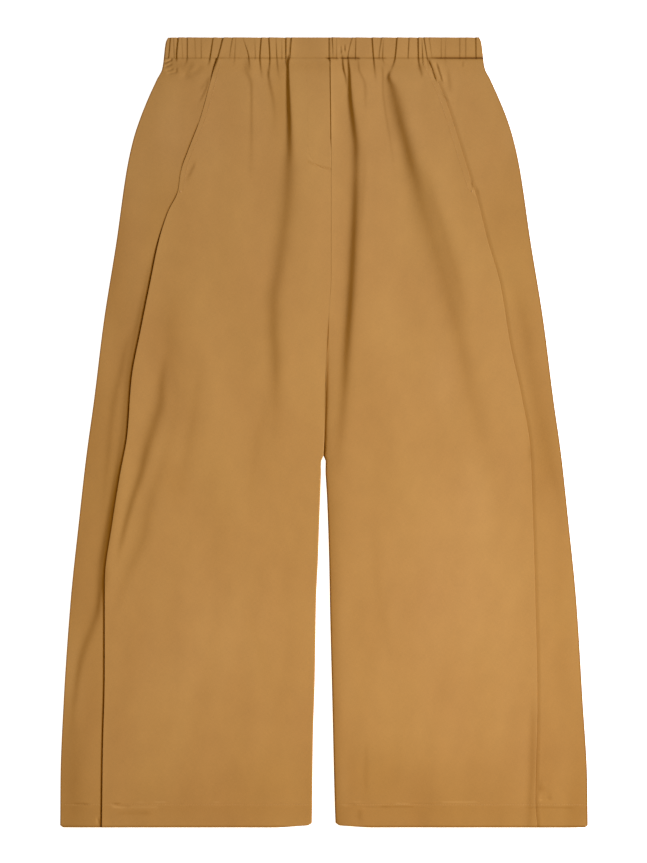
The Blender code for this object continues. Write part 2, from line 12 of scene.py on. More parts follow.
import bpy
import numpy as np
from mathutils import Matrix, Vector


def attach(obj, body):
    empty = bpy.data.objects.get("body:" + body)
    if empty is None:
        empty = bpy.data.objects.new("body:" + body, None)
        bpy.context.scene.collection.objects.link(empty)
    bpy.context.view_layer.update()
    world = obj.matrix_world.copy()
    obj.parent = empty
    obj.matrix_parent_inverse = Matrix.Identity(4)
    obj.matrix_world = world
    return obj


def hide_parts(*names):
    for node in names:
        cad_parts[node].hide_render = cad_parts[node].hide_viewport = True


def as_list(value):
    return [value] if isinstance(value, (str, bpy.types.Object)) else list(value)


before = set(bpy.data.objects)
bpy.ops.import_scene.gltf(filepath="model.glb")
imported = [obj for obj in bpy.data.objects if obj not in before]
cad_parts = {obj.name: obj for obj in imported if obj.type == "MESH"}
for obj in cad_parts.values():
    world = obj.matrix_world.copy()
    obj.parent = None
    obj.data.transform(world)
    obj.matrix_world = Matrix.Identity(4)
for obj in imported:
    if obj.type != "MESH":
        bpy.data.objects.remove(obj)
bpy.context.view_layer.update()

Array = np.ndarray
Rows = tuple[tuple[float, ...], ...]
Colour = tuple[float, float, float]
Point = tuple[float, float, float]
SewnRows = list[tuple[Array, Callable[[Array, Array], Array], float]]

MM = 0.001
BODY = "root"

# Walls and gaps of the cloth
CLOTH = 0.00065  # one layer
SEAM_GAP = 0.00008  # between pieces sewn edge to edge
LAYER_GAP = 0.00025  # between pieces that lie on each other
EDGE_ROUND = 0.0007  # radius of a folded edge

# Heights down the garment
WAIST_TOP = 0.4734
WAIST_SEAM = 0.4484
FLY_FOOT = 0.3150
CROTCH = 0.1900
LEGS_PART = -0.0310
HEM_STITCH = -0.4460
HEM_END = -0.4734
FLY_WIDTH = 0.0285

SHARP_ANGLE = math.radians(50)  # from which an edge of cloth looks sharp

# Outline and seams, each row (y, x) in millimetres
SILHOUETTE_RIGHT = (
    (473.4, -187.0), (468, -189.6), (449.4, -192), (435, -193.2), (423, -199), (399, -210), (375, -219.6),
    (351, -227.4), (315, -235.2), (231, -247.2), (135, -262.5), (39, -274.5), (-30, -284), (-105, -292.5),
    (-201, -302.5), (-321, -310.8), (-417, -314.7), (-473.4, -315),
)
SILHOUETTE_LEFT = (
    (473.4, 186.0), (468, 188.4), (449.4, 190.8), (436, 192), (423, 198), (399, 208.8), (375, 218.4),
    (351, 225.8), (315, 233.6), (231, 246), (135, 261.5), (39, 273.8), (-30, 283.5), (-105, 291.6),
    (-201, 301.2), (-321, 308.8), (-417, 314.4), (-473.4, 315),
)
SIDE_SEAM_RIGHT = (
    (449.6, -128), (429, -133.8), (375, -148.8), (339, -162.5), (313, -171.6), (289, -175.2), (264.5, -187),
    (230, -198), (177, -209), (123, -219.8), (63, -231), (-3, -236), (-51, -244.8), (-111, -254.4),
    (-177, -262.8), (-291, -263), (-381, -265.2), (-473.4, -266.4),
)
SIDE_SEAM_LEFT = (
    (449.6, 122.2), (405, 142.8), (381, 151.2), (297, 177.6), (279, 183.6), (231, 195.6), (177, 211.2),
    (105, 223.2), (51, 235.2), (-21, 247.2), (-81, 249.6), (-201, 253.2), (-321, 255.6), (-441, 253.2),
    (-473.4, 255.6),
)
CENTRE_LINE = (
    (473.4, 7.8), (449.4, 7.8), (339, 8.8), (190, 8.8), (123, 4.6), (68, 2.9), (20, 1.4), (-29, -0.6),
    (-35, -3.8), (-81, -6), (-153, -8.4), (-201, -10.6), (-297, -12.2), (-369, -14.4), (-473.4, -15.6),
)
INSEAM_LEFT = (
    (-29, 1.6), (-57, 3.6), (-81, 5), (-153, 7.4), (-225, 8.8), (-321, 11.2), (-417, 13.4), (-473.4, 15),
)

# Outer skin of the front, each row (y, at the right side, in the middle, at the left side)
LEVELS = (
    (473.4, 6.2, 6.2, 6.2), (449.4, 6.0, 6.4, 6.4), (399, 5.5, 6.2, 6.6), (315, 4.9, 5.8, 6.2),
    (135, 4.3, 5.6, 5.6), (-201, 3.8, 5.2, 5.0), (-420, 3.9, 5.0, 4.7), (-473.4, 4.2, 4.6, 4.5),
)


class Side(Enum):
    """One of the wearer's sides, with the sign of its x."""

    RIGHT = -1
    LEFT = 1


def smooth(t: Array | float) -> Array:
    """0 below 0, 1 above 1, and a smooth step between."""
    t = np.clip(t, 0.0, 1.0)
    return t * t * (3 - 2 * t)


def blend(start: Array | float, end: Array | float, share: Array | float) -> Array:
    """start where share is 0, end where it is 1."""
    return start + (end - start) * share


def hump(offset: Array, width: Array | float = 1.0) -> Array:
    """1 at offset 0, falling off softly over the width on both sides."""
    return np.exp(-((offset / width) ** 2))


def fading(distance: Array, reach: Array | float) -> Array:
    """1 up to distance 0, falling off slowly over the reach beyond it."""
    return np.exp(-np.maximum(distance, 0.0) / reach)


class Line:
    """Lengths that change down the garment, on smooth curves that never overshoot their rows."""

    def __init__(self, rows: Rows) -> None:
        """Keep a table's rows: from the waist down, each (y, length, ...) in millimetres."""
        self.table = np.array(rows, dtype=float)[::-1] * MM
        self.top = self.table[-1, 0]
        self.foot = self.table[0, 0]

    def at(self, y: Array, column: int = 1) -> Array:
        """Read one column.

        Args:
            y: Heights in metres.
            column: The column of the table.

        Returns:
            The column's value at each height, in metres.
        """
        knots, values = self.table[:, 0], self.table[:, column]
        steps = np.diff(values) / np.diff(knots)
        product = steps[:-1] * steps[1:]
        total = np.where(product > 0, steps[:-1] + steps[1:], 1.0)
        middle = np.where(product > 0, 2 * product / total, 0.0)
        slopes = np.concatenate([steps[:1], middle, steps[-1:]])
        y = np.clip(y, knots[0], knots[-1])
        low = np.clip(np.searchsorted(knots, y, side="right") - 1, 0, len(knots) - 2)
        span = knots[low + 1] - knots[low]
        t = (y - knots[low]) / span
        start = values[low] * (1 + 2 * t) + slopes[low] * span * t
        end = values[low + 1] * (3 - 2 * t) - slopes[low + 1] * span * (1 - t)
        return start * (1 - t) ** 2 + end * t**2


@dataclass(frozen=True)
class Fold:
    """A ridge or trough that runs down the garment.

    Attributes:
        rows: From the waist down, each (y, x, height, width towards -X, width towards +X).
        run_on: How far it runs on over its first row.
    """

    rows: Rows
    run_on: float = 2 * MM

    def height(self, x: Array, y: Array) -> Array:
        """Work out the fold's height.

        Args:
            x: Places in metres.
            y: Heights in metres.

        Returns:
            The height that it adds at each place.
        """
        line = Line(self.rows)
        inside = (y <= line.top + self.run_on) & (y >= line.foot)
        share = self.section(line, x - line.at(y), y)
        return np.where(inside, line.at(y, 2) * share, 0.0)

    def section(self, line: Line, offset: Array, y: Array) -> Array:
        """The share of its height that it has beside its line."""
        return hump(offset, np.where(offset < 0, line.at(y, 3), line.at(y, 4)))


@dataclass(frozen=True)
class Slope(Fold):
    """A line that the cloth climbs across towards +X, and from which it sinks back slowly.

    Attributes:
        rows: From the waist down, each (y, x, rise, width of the slope, reach towards +X).
        back: How many times as far it reaches towards -X.
    """

    back: float = 1.0

    def section(self, line: Line, offset: Array, y: Array) -> Array:
        """The share of its rise that it has beside its line."""
        reach = line.at(y, 4) * np.where(offset < 0, self.back, 1.0)
        return np.tanh(offset / line.at(y, 3)) * np.exp(-np.abs(offset) / reach) / 2


@dataclass(frozen=True)
class Wrinkle:
    """A short crease between two points, deepest in its middle, in millimetres."""

    start: tuple[float, float]
    end: tuple[float, float]
    depth: float
    width: float
    bow: float = 0.0
    fade: float = 0.35

    def height(self, x: Array, y: Array) -> Array:
        """Work out the wrinkle's height.

        Args:
            x: Places in metres.
            y: Heights in metres.

        Returns:
            The height that it adds, which is below zero in its trough.
        """
        run = (np.array(self.end) - np.array(self.start)) * MM
        length = float(np.hypot(*run))
        from_x = x - self.start[0] * MM
        from_y = y - self.start[1] * MM
        t = (from_x * run[0] + from_y * run[1]) / length**2
        bow = self.bow * MM * 4 * t * (1 - t)
        off = (from_x * run[1] - from_y * run[0]) / length - bow
        ends = smooth(t / self.fade) * smooth((1 - t) / self.fade)
        return self.depth * MM * ends * self.section(off / (self.width * MM))

    def section(self, off: Array) -> Array:
        """The trough's depth, by the distance from its line in widths."""
        return -hump(off)


@dataclass(frozen=True)
class Nick(Wrinkle):
    """A short crease, given from its upper end, that the cloth climbs across towards +X."""

    reach: float = 6.0  # how far it sinks back on both sides, in widths

    def section(self, off: Array) -> Array:
        """A step, from which the cloth sinks back on both sides."""
        return -np.tanh(off) * np.exp(-np.abs(off) / self.reach) / 2


FRONT_FOLDS = {
    "fly side": Slope((
        (449.6, -43.0, 0.5, 0.7, 24), (441, -43.0, 1.1, 0.7, 34), (423, -42.8, 1.6, 1.0, 50),
        (399, -42.2, 2.0, 1.5, 70), (369, -41.4, 2.5, 2.6, 80), (339, -41.4, 2.8, 4.6, 80),
        (315, -42.6, 2.9, 7.2, 85), (279, -44.0, 2.9, 9.0, 90), (231, -49.8, 3.0, 10.0, 90),
        (195, -54.6, 3.0, 9.5, 85), (159, -60.4, 3.3, 10.0, 80), (123, -60.4, 2.9, 9.0, 75),
        (99, -58.6, 2.7, 8.5, 70), (63, -57.6, 2.0, 8.5, 65), (27, -57.6, 1.0, 9, 60),
        (-20, -60, 0, 12, 60),
    )),
    "left of the centre seam": Slope((
        (452, 28.4, 0, 0.8, 16), (444, 29.2, 0.8, 0.8, 24), (429, 30.6, 1.4, 1.2, 40),
        (414, 31.0, 1.8, 1.6, 50), (399, 31.8, 2.3, 2.3, 60), (369, 35.2, 2.8, 3.6, 70),
        (339, 38.0, 2.7, 4.6, 75), (321, 38.0, 2.5, 5.0, 75), (279, 37.2, 3.2, 5.2, 75),
        (219, 34.8, 3.6, 5.4, 75), (159, 31.6, 3.6, 5.4, 75), (123, 29.0, 3.4, 5.4, 75),
        (87, 26.4, 2.8, 5.6, 70), (63, 25.2, 2.4, 5.8, 70), (39, 23.4, 1.9, 6.4, 65),
        (3, 20.4, 1.4, 6.6, 60), (-60, 15, 0, 8, 50),
    )),
    "shallow one left of the centre seam": Slope((
        (345, 48, 0, 3, 14), (321, 48.6, 0.25, 3, 14), (279, 46.4, 0.35, 3.4, 14), (240, 44, 0.15, 4, 14),
        (215, 43, 0, 4, 14),
    )),
    "left thigh": Slope((
        (434, 79, 0, 1.5, 24), (426, 77.4, 1.6, 2.2, 40), (414, 81.2, 2.7, 5.4, 55),
        (399, 85.0, 3.7, 7.8, 70), (372, 91.6, 4.6, 8.4, 80), (345, 98.6, 5.1, 8.8, 85),
        (321, 104.4, 5.3, 10, 85), (303, 109.6, 5.3, 12, 85), (279, 115.6, 5.2, 14.5, 85),
        (237, 128.4, 5.0, 17, 80), (195, 141.0, 4.6, 17, 80), (159, 150.6, 3.9, 16, 75),
        (123, 160.0, 2.8, 13, 70), (87, 168, 2.3, 13, 70), (63, 172, 2.1, 14, 70), (27, 181, 1.6, 16, 65),
        (-30, 196, 1.0, 17, 60), (-80, 212, 0.6, 18, 60), (-140, 226, 0, 20, 60),
    )),
    "left thigh, far side": Slope((
        (320, 121, 0, 6, 30), (300, 127, 0.6, 8, 34), (279, 131.5, 1.2, 9, 36), (237, 144, 1.5, 10, 40),
        (195, 156.5, 1.3, 10, 40), (159, 165, 0.8, 9, 36), (123, 172, 0, 9, 34),
    )),
    "short one by the fly": Slope((
        (449, 22.0, 0.6, 0.9, 8), (437, 23.2, 1.0, 0.9, 8), (423, 26.2, 0.6, 1.2, 7),
        (412, 27.2, 0, 2.0, 8),
    )),
    "hair crease on the left thigh": Slope((
        (440, 69.5, 0, 0.9, 9), (431, 70.5, 0.35, 1.1, 9), (411, 70.6, 0.25, 1.2, 9),
        (399, 71.6, 0.28, 1.3, 9), (339, 81.0, 0.16, 1.4, 9), (300, 86, 0, 2, 9),
    )),
    "curl under the band, left of the fly": Slope((
        (446, 40.8, 0.2, 1.1, 8), (435, 41.8, 0.45, 1.5, 9), (425, 46.0, 0.45, 2.0, 9),
        (417, 49.2, 0.5, 2.2, 9), (399, 49.6, 0.35, 2.6, 9), (384, 50.4, 0, 3, 9),
    )),
    "right thigh": Slope((
        (100, -186, 0, 6, 40), (63, -194.0, 1.5, 5.6, 44), (38, -195.4, 2.4, 7.2, 46),
        (12, -202.6, 3.2, 8.6, 50), (-17, -211.4, 3.1, 7.6, 50), (-52, -220.0, 2.3, 5.4, 46),
        (-82, -230.0, 1.8, 4.4, 42), (-117, -239.4, 1.4, 3.6, 38), (-157, -248, 0, 4, 34),
    )),
    "right thigh, lower": Slope((
        (180, -176, 0, 12, 50), (150, -180, 0.6, 13, 50), (123, -184, 1.1, 12, 50), (84, -182, 0.9, 12, 50),
        (40, -178, 0.9, 12, 50), (-21, -188, 1.1, 11, 46), (-81, -207, 1.6, 10, 44),
        (-129, -217, 1.5, 9, 40), (-171, -236, 0.9, 8, 38), (-219, -250, 0, 6, 30),
    )),
    "inside the right thigh": Slope((
        (100, -144, 0, 8, 30), (63, -148.8, 0.4, 8, 30), (3, -158.4, 0.9, 9, 32), (-50, -168, 0.4, 9, 30),
        (-90, -174, 0, 9, 30),
    )),
    "proud side seam": Slope((
        (260, -190, 0, 3, 20), (219, -203, 0.15, 3, 22), (195, -209, 0.5, 3.2, 24),
        (159, -217, 0.9, 3.6, 26), (123, -224.5, 1.2, 4.0, 28), (63, -235, 1.3, 4.2, 30),
        (3, -240, 1.6, 4.6, 32), (-51, -248.5, 2.2, 4.8, 34), (-111, -258.0, 2.5, 5.0, 34),
        (-135, -262.5, 2.4, 5.0, 34), (-171, -267.5, 1.8, 5.0, 32), (-205, -270, 0.8, 4.0, 30),
        (-235, -270, 0, 4, 28),
    ), back=3.0),
    "right strip": Slope((
        (130, -226, 0, 4, 24), (100, -238, 0.7, 4.5, 26), (75, -243, 1.0, 5, 28),
        (39, -251.5, 1.1, 5.5, 28), (3, -256, 1.0, 5.5, 28), (-33, -259, 0.8, 5, 26),
        (-81, -264, 0.4, 5, 24), (-120, -268, 0, 5, 20),
    )),
    "branch of the right strip": Slope((
        (-160, -258, 0, 4, 20), (-177, -262.8, 0.9, 4.2, 24), (-225, -274.8, 1.3, 4.6, 28),
        (-273, -291.6, 1.5, 4.8, 28), (-321, -298.8, 0.9, 4.8, 26), (-370, -304, 0, 5, 20),
    )),
    "foot of the right strip": Slope((
        (-330, -296, 0, 14, 40), (-380, -298.8, 1.2, 15, 40), (-405, -298.8, 1.5, 15, 40),
        (-446, -298.8, 1.3, 14, 40), (-473.4, -298.8, 0.8, 14, 40),
    )),
    "right hip": Slope((
        (447, -92, 0.3, 3.0, 14), (435, -93, 0.9, 4.5, 16), (423, -88.6, 0.7, 3.0, 16),
        (415, -87, 0.5, 1.9, 16), (399, -86.8, 0.4, 1.6, 18), (339, -87, 0.3, 2.4, 20),
        (290, -89, 0, 5, 20),
    )),
    "second one on the right hip": Slope((
        (437, -67.2, 0, 1.2, 12), (431, -66.8, 0.5, 1.3, 12), (417, -64.8, 0.7, 2.0, 14),
        (399, -61.0, 0.5, 2.4, 16), (381, -59.4, 0.25, 2.6, 16), (350, -62, 0, 5, 18),
    )),
    "left strip": Slope((
        (200, 226, 0, 10, 50), (150, 236, 1.0, 10, 55), (123, 242, 1.3, 10, 60), (51, 252, 1.5, 12, 60),
        (3, 262, 1.5, 13, 60), (-40, 272, 1.3, 12, 60), (-90, 284, 0.8, 10, 60), (-200, 282, 0.5, 13, 50),
        (-273, 286, 0.6, 13, 50), (-340, 290, 0, 13, 40),
    )),
    "left seam at the foot": Slope((
        (-300, 251, 0, 4, 18), (-355, 250, 0.8, 4.4, 16), (-405, 249, 1.2, 5.4, 14),
        (-440, 247, 1.1, 5.4, 14), (-473.4, 246, 0.6, 5, 14),
    )),
}

WRINKLES = (
    # Puckers at the right end of the band
    Wrinkle((-193.0, 441.6), (-181.0, 447.4), 0.9, 0.9, 0.0, 0.2),
    Wrinkle((-192.5, 437.4), (-180.5, 442.0), 0.7, 0.9),
    Wrinkle((-191.5, 433.6), (-179.5, 436.4), 0.6, 1.0, 1.0),
    Wrinkle((-190.0, 429.6), (-173.5, 432.0), 0.5, 1.1),
    Nick((-175.5, 438.0), (-176.5, 430.5), 0.5, 0.8),
    # Crumple in the band left of the fly
    Nick((20.6, 464.5), (20.9, 451.5), 0.7, 0.6), Nick((25.0, 466.0), (25.6, 454.0), 0.6, 0.6),
    Wrinkle((19.6, 459.2), (26.4, 459.4), 0.4, 0.7),
    # Pressed marks of the pockets
    Nick((-136.8, 426.4), (-151.5, 393.0), 0.5, 0.8, -2.0),
    Nick((-152.0, 327.0), (-165.5, 300.0), 0.5, 1.8),
    Nick((176.8, 302.0), (178.4, 290.0), 0.6, 0.7),
    Wrinkle((178.0, 289.4), (186.0, 288.8), 0.5, 0.8),
    Nick((124.8, 448.0), (135.6, 419.0), 1.0, 0.8, 0.0, 0.2),
    Nick((134.4, 445.0), (142.8, 417.0), 0.8, 0.8, 0.0, 0.25),
    Nick((139.5, 408.0), (151.0, 396.0), 0.4, 1.2, 1.0),
    Nick((148.0, 440.0), (152.0, 404.0), 0.5, 2.4),
    # Puffs under the band
    Wrinkle((-176.0, 424.0), (-143.0, 440.0), 0.4, 4.2, 1.5),
    Nick((-133.0, 430.0), (-150.0, 408.0), 0.5, 2.2), Nick((-154.0, 444.0), (-168.0, 424.0), 0.5, 2.6),
    Nick((114.0, 444.0), (118.0, 424.0), 0.6, 1.6, 0.0, 0.3),
    Nick((167.0, 446.0), (166.0, 436.0), 0.3, 1.0),
    # Creases across the hems
    Wrinkle((-256.0, -446.0), (-231.0, -448.0), 0.6, 1.4, 1.0),
    Wrinkle((-250.0, -455.0), (-208.0, -456.0), 0.35, 1.6),
    Wrinkle((-305.0, -445.6), (-281.0, -445.6), 0.5, 1.0),
    Wrinkle((-273.0, -463.0), (-268.0, -468.0), 0.6, 1.2),
    Wrinkle((36.0, -449.5), (80.0, -449.0), 0.45, 1.3, 0.5),
    Wrinkle((92.0, -445.5), (137.0, -445.5), 0.4, 1.0),
    Nick((44.0, -447.0), (42.0, -469.0), 0.5, 3.0), Wrinkle((22.0, -446.5), (40.0, -446.5), 0.35, 1.1),
    Wrinkle((259.0, -430.0), (270.0, -429.0), 0.6, 1.6), Wrinkle((256.0, -440.0), (274.0, -438.0), 0.5, 1.5),
    Nick((262.0, -418.0), (257.0, -430.0), 0.5, 1.5), Wrinkle((240.0, -449.0), (302.0, -450.5), 0.3, 1.6),
    # Soft creases of the legs
    Nick((51.0, -360.0), (50.0, -446.0), 0.3, 3.0), Wrinkle((40.0, -423.0), (60.0, -424.0), 0.25, 1.4),
    Nick((247.0, -16.0), (246.5, -34.0), 0.4, 1.6), Nick((-60.0, 60.0), (-90.0, -120.0), 0.4, 7.0, 8.0),
    Nick((60.0, -80.0), (90.0, -300.0), 0.4, 8.0, 9.0),
    Nick((-100.0, -200.0), (-60.0, -330.0), 0.4, 8.0, -6.0),
)

# Creases that the elastic draws into the front, in millimetres: each row is
# (x at the top edge, x at the waist seam, x at the foot, y of the foot, depth at the top edge, depth
# at the seam)
FRONT_GATHERS = (
    (-183.8, -186.2, -186.8, 447, 0.7, 0.7), (-180.1, -179.4, -179.4, 448, 0.3, 0.35),
    (-174.4, -176.4, -176.4, 443, 1.0, 1.0), (-170.4, -169.2, -169.2, 445, 0.2, 0.2),
    (-163.7, -163.7, -166.8, 438, 0.6, 0.6), (-154.8, -153.6, -153.4, 447, 0.2, 0.2),
    (-147.0, -147.0, -147.0, 447, 0.1, 0.35), (-132.6, -136.4, -138.6, 437, 0.6, 0.9),
    (-120.6, -127.2, -133.4, 430, 0.9, 0.9), (-109.4, -112.8, -112.2, 447, 0.45, 0.25),
    (-105.6, -107.0, -107.6, 437, 0.15, 0.3), (-97.2, -90.0, -88.8, 430, 0.1, 0.7),
    (-83.0, -82.2, -82.2, 446, 0.05, 0.35), (-75.0, -76.6, -73.6, 421, 0.8, 0.9),
    (-66.0, -64.8, -67.2, 421, 0.8, 0.9), (-57.6, -56.4, -53.4, 420, 0.15, 0.6),
    (-50.6, -50.4, -50.4, 444, 0.05, 0.35), (-45.6, -45.6, -43.8, 436, 0.9, 0.9),
    (-39.0, -41.4, -43.0, 441, 0.9, 0.9), (6.2, 6.2, 9.6, 443, 0.8, 0.8), (9.8, 10.8, 10.8, 448, 0.7, 0.1),
    (15.0, 15.0, 15.2, 446, 0.1, 0.3), (33.6, 28.8, 28.8, 447, 0.45, 0.45),
    (38.2, 37.7, 38.4, 444, 0.4, 0.55), (57.6, 59.4, 62.4, 418, 0.8, 0.9),
    (69.0, 66.0, 67.2, 445, 0.5, 0.4), (71.4, 70.2, 73.2, 439, 0.05, 0.5),
    (87.6, 85.2, 77.0, 426, 0.8, 0.9), (102.0, 100.8, 100.8, 447, 0.6, 0.5),
    (112.8, 113.2, 115.2, 430, 1.0, 1.0), (117.2, 118.2, 119.6, 433, 0.1, 0.7),
    (119.6, 123.6, 126.6, 432, 0.7, 0.6), (126.0, 129.6, 130.2, 447, 0.35, 0.15),
    (140.4, 140.4, 140.4, 446, 0.1, 0.3), (145.8, 145.2, 145.4, 437, 0.05, 0.25),
    (162.6, 162.6, 163.4, 446, 0.35, 0.35), (169.8, 169.8, 171.0, 445, 0.35, 0.3),
    (181.8, 182.2, 182.6, 446, 0.7, 0.6),
)

# How tightly the waistband's seam is drawn in, which also sets the painted shade deep in it, each row (x in
# millimetres, share)
SEAM_PULL = (
    (-190, 0.15), (-134, 0.15), (-124, 0.3), (-117, 0.1), (-103, 0.2), (-97, 0.1), (-86, 0.25), (-70, 0.3),
    (-40, 0.25), (-36, 0.05), (-26, 0.1), (0, 0.1), (4, 0.7), (15, 0.75), (18, 0.15), (22, 0.85),
    (41, 0.85), (44, 0.15), (58, 0.3), (62, 0.5), (72, 0.45), (76, 0.1), (85, 0.2), (95, 0.2), (109, 0.2),
    (114, 0.4), (120, 0.2), (127, 0.4), (136, 0.9), (190, 1.0),
)

# How open the groove beside a front's edge is, and how dark its painted shade is, each row (y in
# millimetres, share)
SEAM_LINE_RIGHT = (
    (449, 0.5), (432, 0.5), (424, 0.08), (373, 0.08), (363, 0.6), (324, 0.6), (315, 0.2), (291, 0.2),
    (284, 0.55), (262, 0.6), (235, 0.85), (0, 0.85), (-20, 0.7), (-110, 0.45), (-180, 0.6), (-240, 0.75),
    (-473, 0.75),
)
SEAM_LINE_LEFT = (
    (449, 0.1), (280, 0.05), (200, 0.12), (-100, 0.12), (-250, 0.06), (-300, 0.1), (-473, 0.14),
)

# Soft patches of painted light and shade, where the cloth is made darker or lighter: (x, y, half width, half
# height, share)
PAINTED_LIGHT_PATCHES = (
    (235, 320, 62, 140, -0.08), (150, -450, 170, 62, -0.12), (-180, -440, 130, 32, -0.05),
    (155, -190, 80, 125, 0.09), (-140, -230, 80, 90, 0.05), (-300, -290, 14, 60, 0.12),
    (-178, 436, 24, 12, -0.08), (-265, -20, 40, 60, -0.01), (262, -30, 20, 70, -0.09),
    (306, -400, 16, 80, -0.06), (180, 470, 80, 30, -0.06), (-190, 120, 40, 50, -0.04),
    (-228, 225, 22, 120, 0.08), (-52, 400, 12, 45, -0.10), (0, 440, 190, 9, -0.06),
    (100, 352, 16, 30, 0.07), (-180, -58, 16, 26, -0.07), (300, -450, 14, 40, -0.06),
    (180, -80, 30, 50, 0.05), (-60, -415, 60, 40, -0.05), (60, -410, 40, 36, -0.07),
    (-100, -230, 60, 60, 0.03), (-186, 358, 24, 46, 0.09), (222, 355, 14, 25, 0.06),
    (-262, 105, 14, 50, 0.06), (140, 62, 22, 42, 0.07), (22, -240, 10, 90, 0.05), (22, -420, 8, 32, 0.10),
    (-180, -295, 40, 50, 0.04), (262, -395, 16, 50, -0.05), (-140, 350, 30, 40, 0.04),
)

# Streaks of painted light and shade along the creases beside the hems: (x from, x to, y, half thickness,
# share), in millimetres
PAINTED_CREASE_STREAKS = (
    (-255, -242, -444.5, 1.2, -0.16), (-256, -196, -449.0, 1.4, 0.09), (-227, -213, -443.0, 0.9, 0.09),
    (-206, -187, -442.8, 0.9, 0.12), (-134, -123, -443.0, 0.9, 0.12), (-152, -142, -436.5, 1.2, -0.08),
    (-250, -205, -456.0, 2.2, -0.07), (-306, -280, -445.0, 1.2, -0.10), (-272, -265, -471.0, 1.6, -0.22),
    (33, 47, -442.5, 0.9, 0.10), (83, 105, -444.6, 0.9, 0.11), (66, 110, -448.2, 1.2, -0.10),
    (139, 185, -442.8, 0.9, 0.13), (50, 62, -424.0, 1.0, 0.07), (255, 268, -427.5, 1.2, -0.13),
    (252, 262, -434.5, 1.2, 0.09), (240, 300, -449.5, 1.4, -0.07),
)

# Slow waves of the whole cloth: (direction in degrees from +Y, wavelength, depth, phase)
WAVES = (
    (8, 71, 0.10, 0.4), (-7, 47, 0.05, 1.9), (21, 103, 0.16, 3.0), (-16, 31, 0.02, 4.2),
    (64, 140, 0.16, 2.2), (-58, 118, 0.14, 0.9),
)
WAVE_BEND = 0.006  # how far a wave's crest strays to both sides
WAVE_BEND_LENGTH = 0.083  # along the crest, for one radian
WAVE_SWELL = 0.4  # how much a wave's depth changes along its crest
WAVE_SWELL_LENGTH = 0.11  # along the crest, for one radian
WAVE_SWELL_PHASE = 2.3
DARKEST = 0.15  # the least tone of the cloth


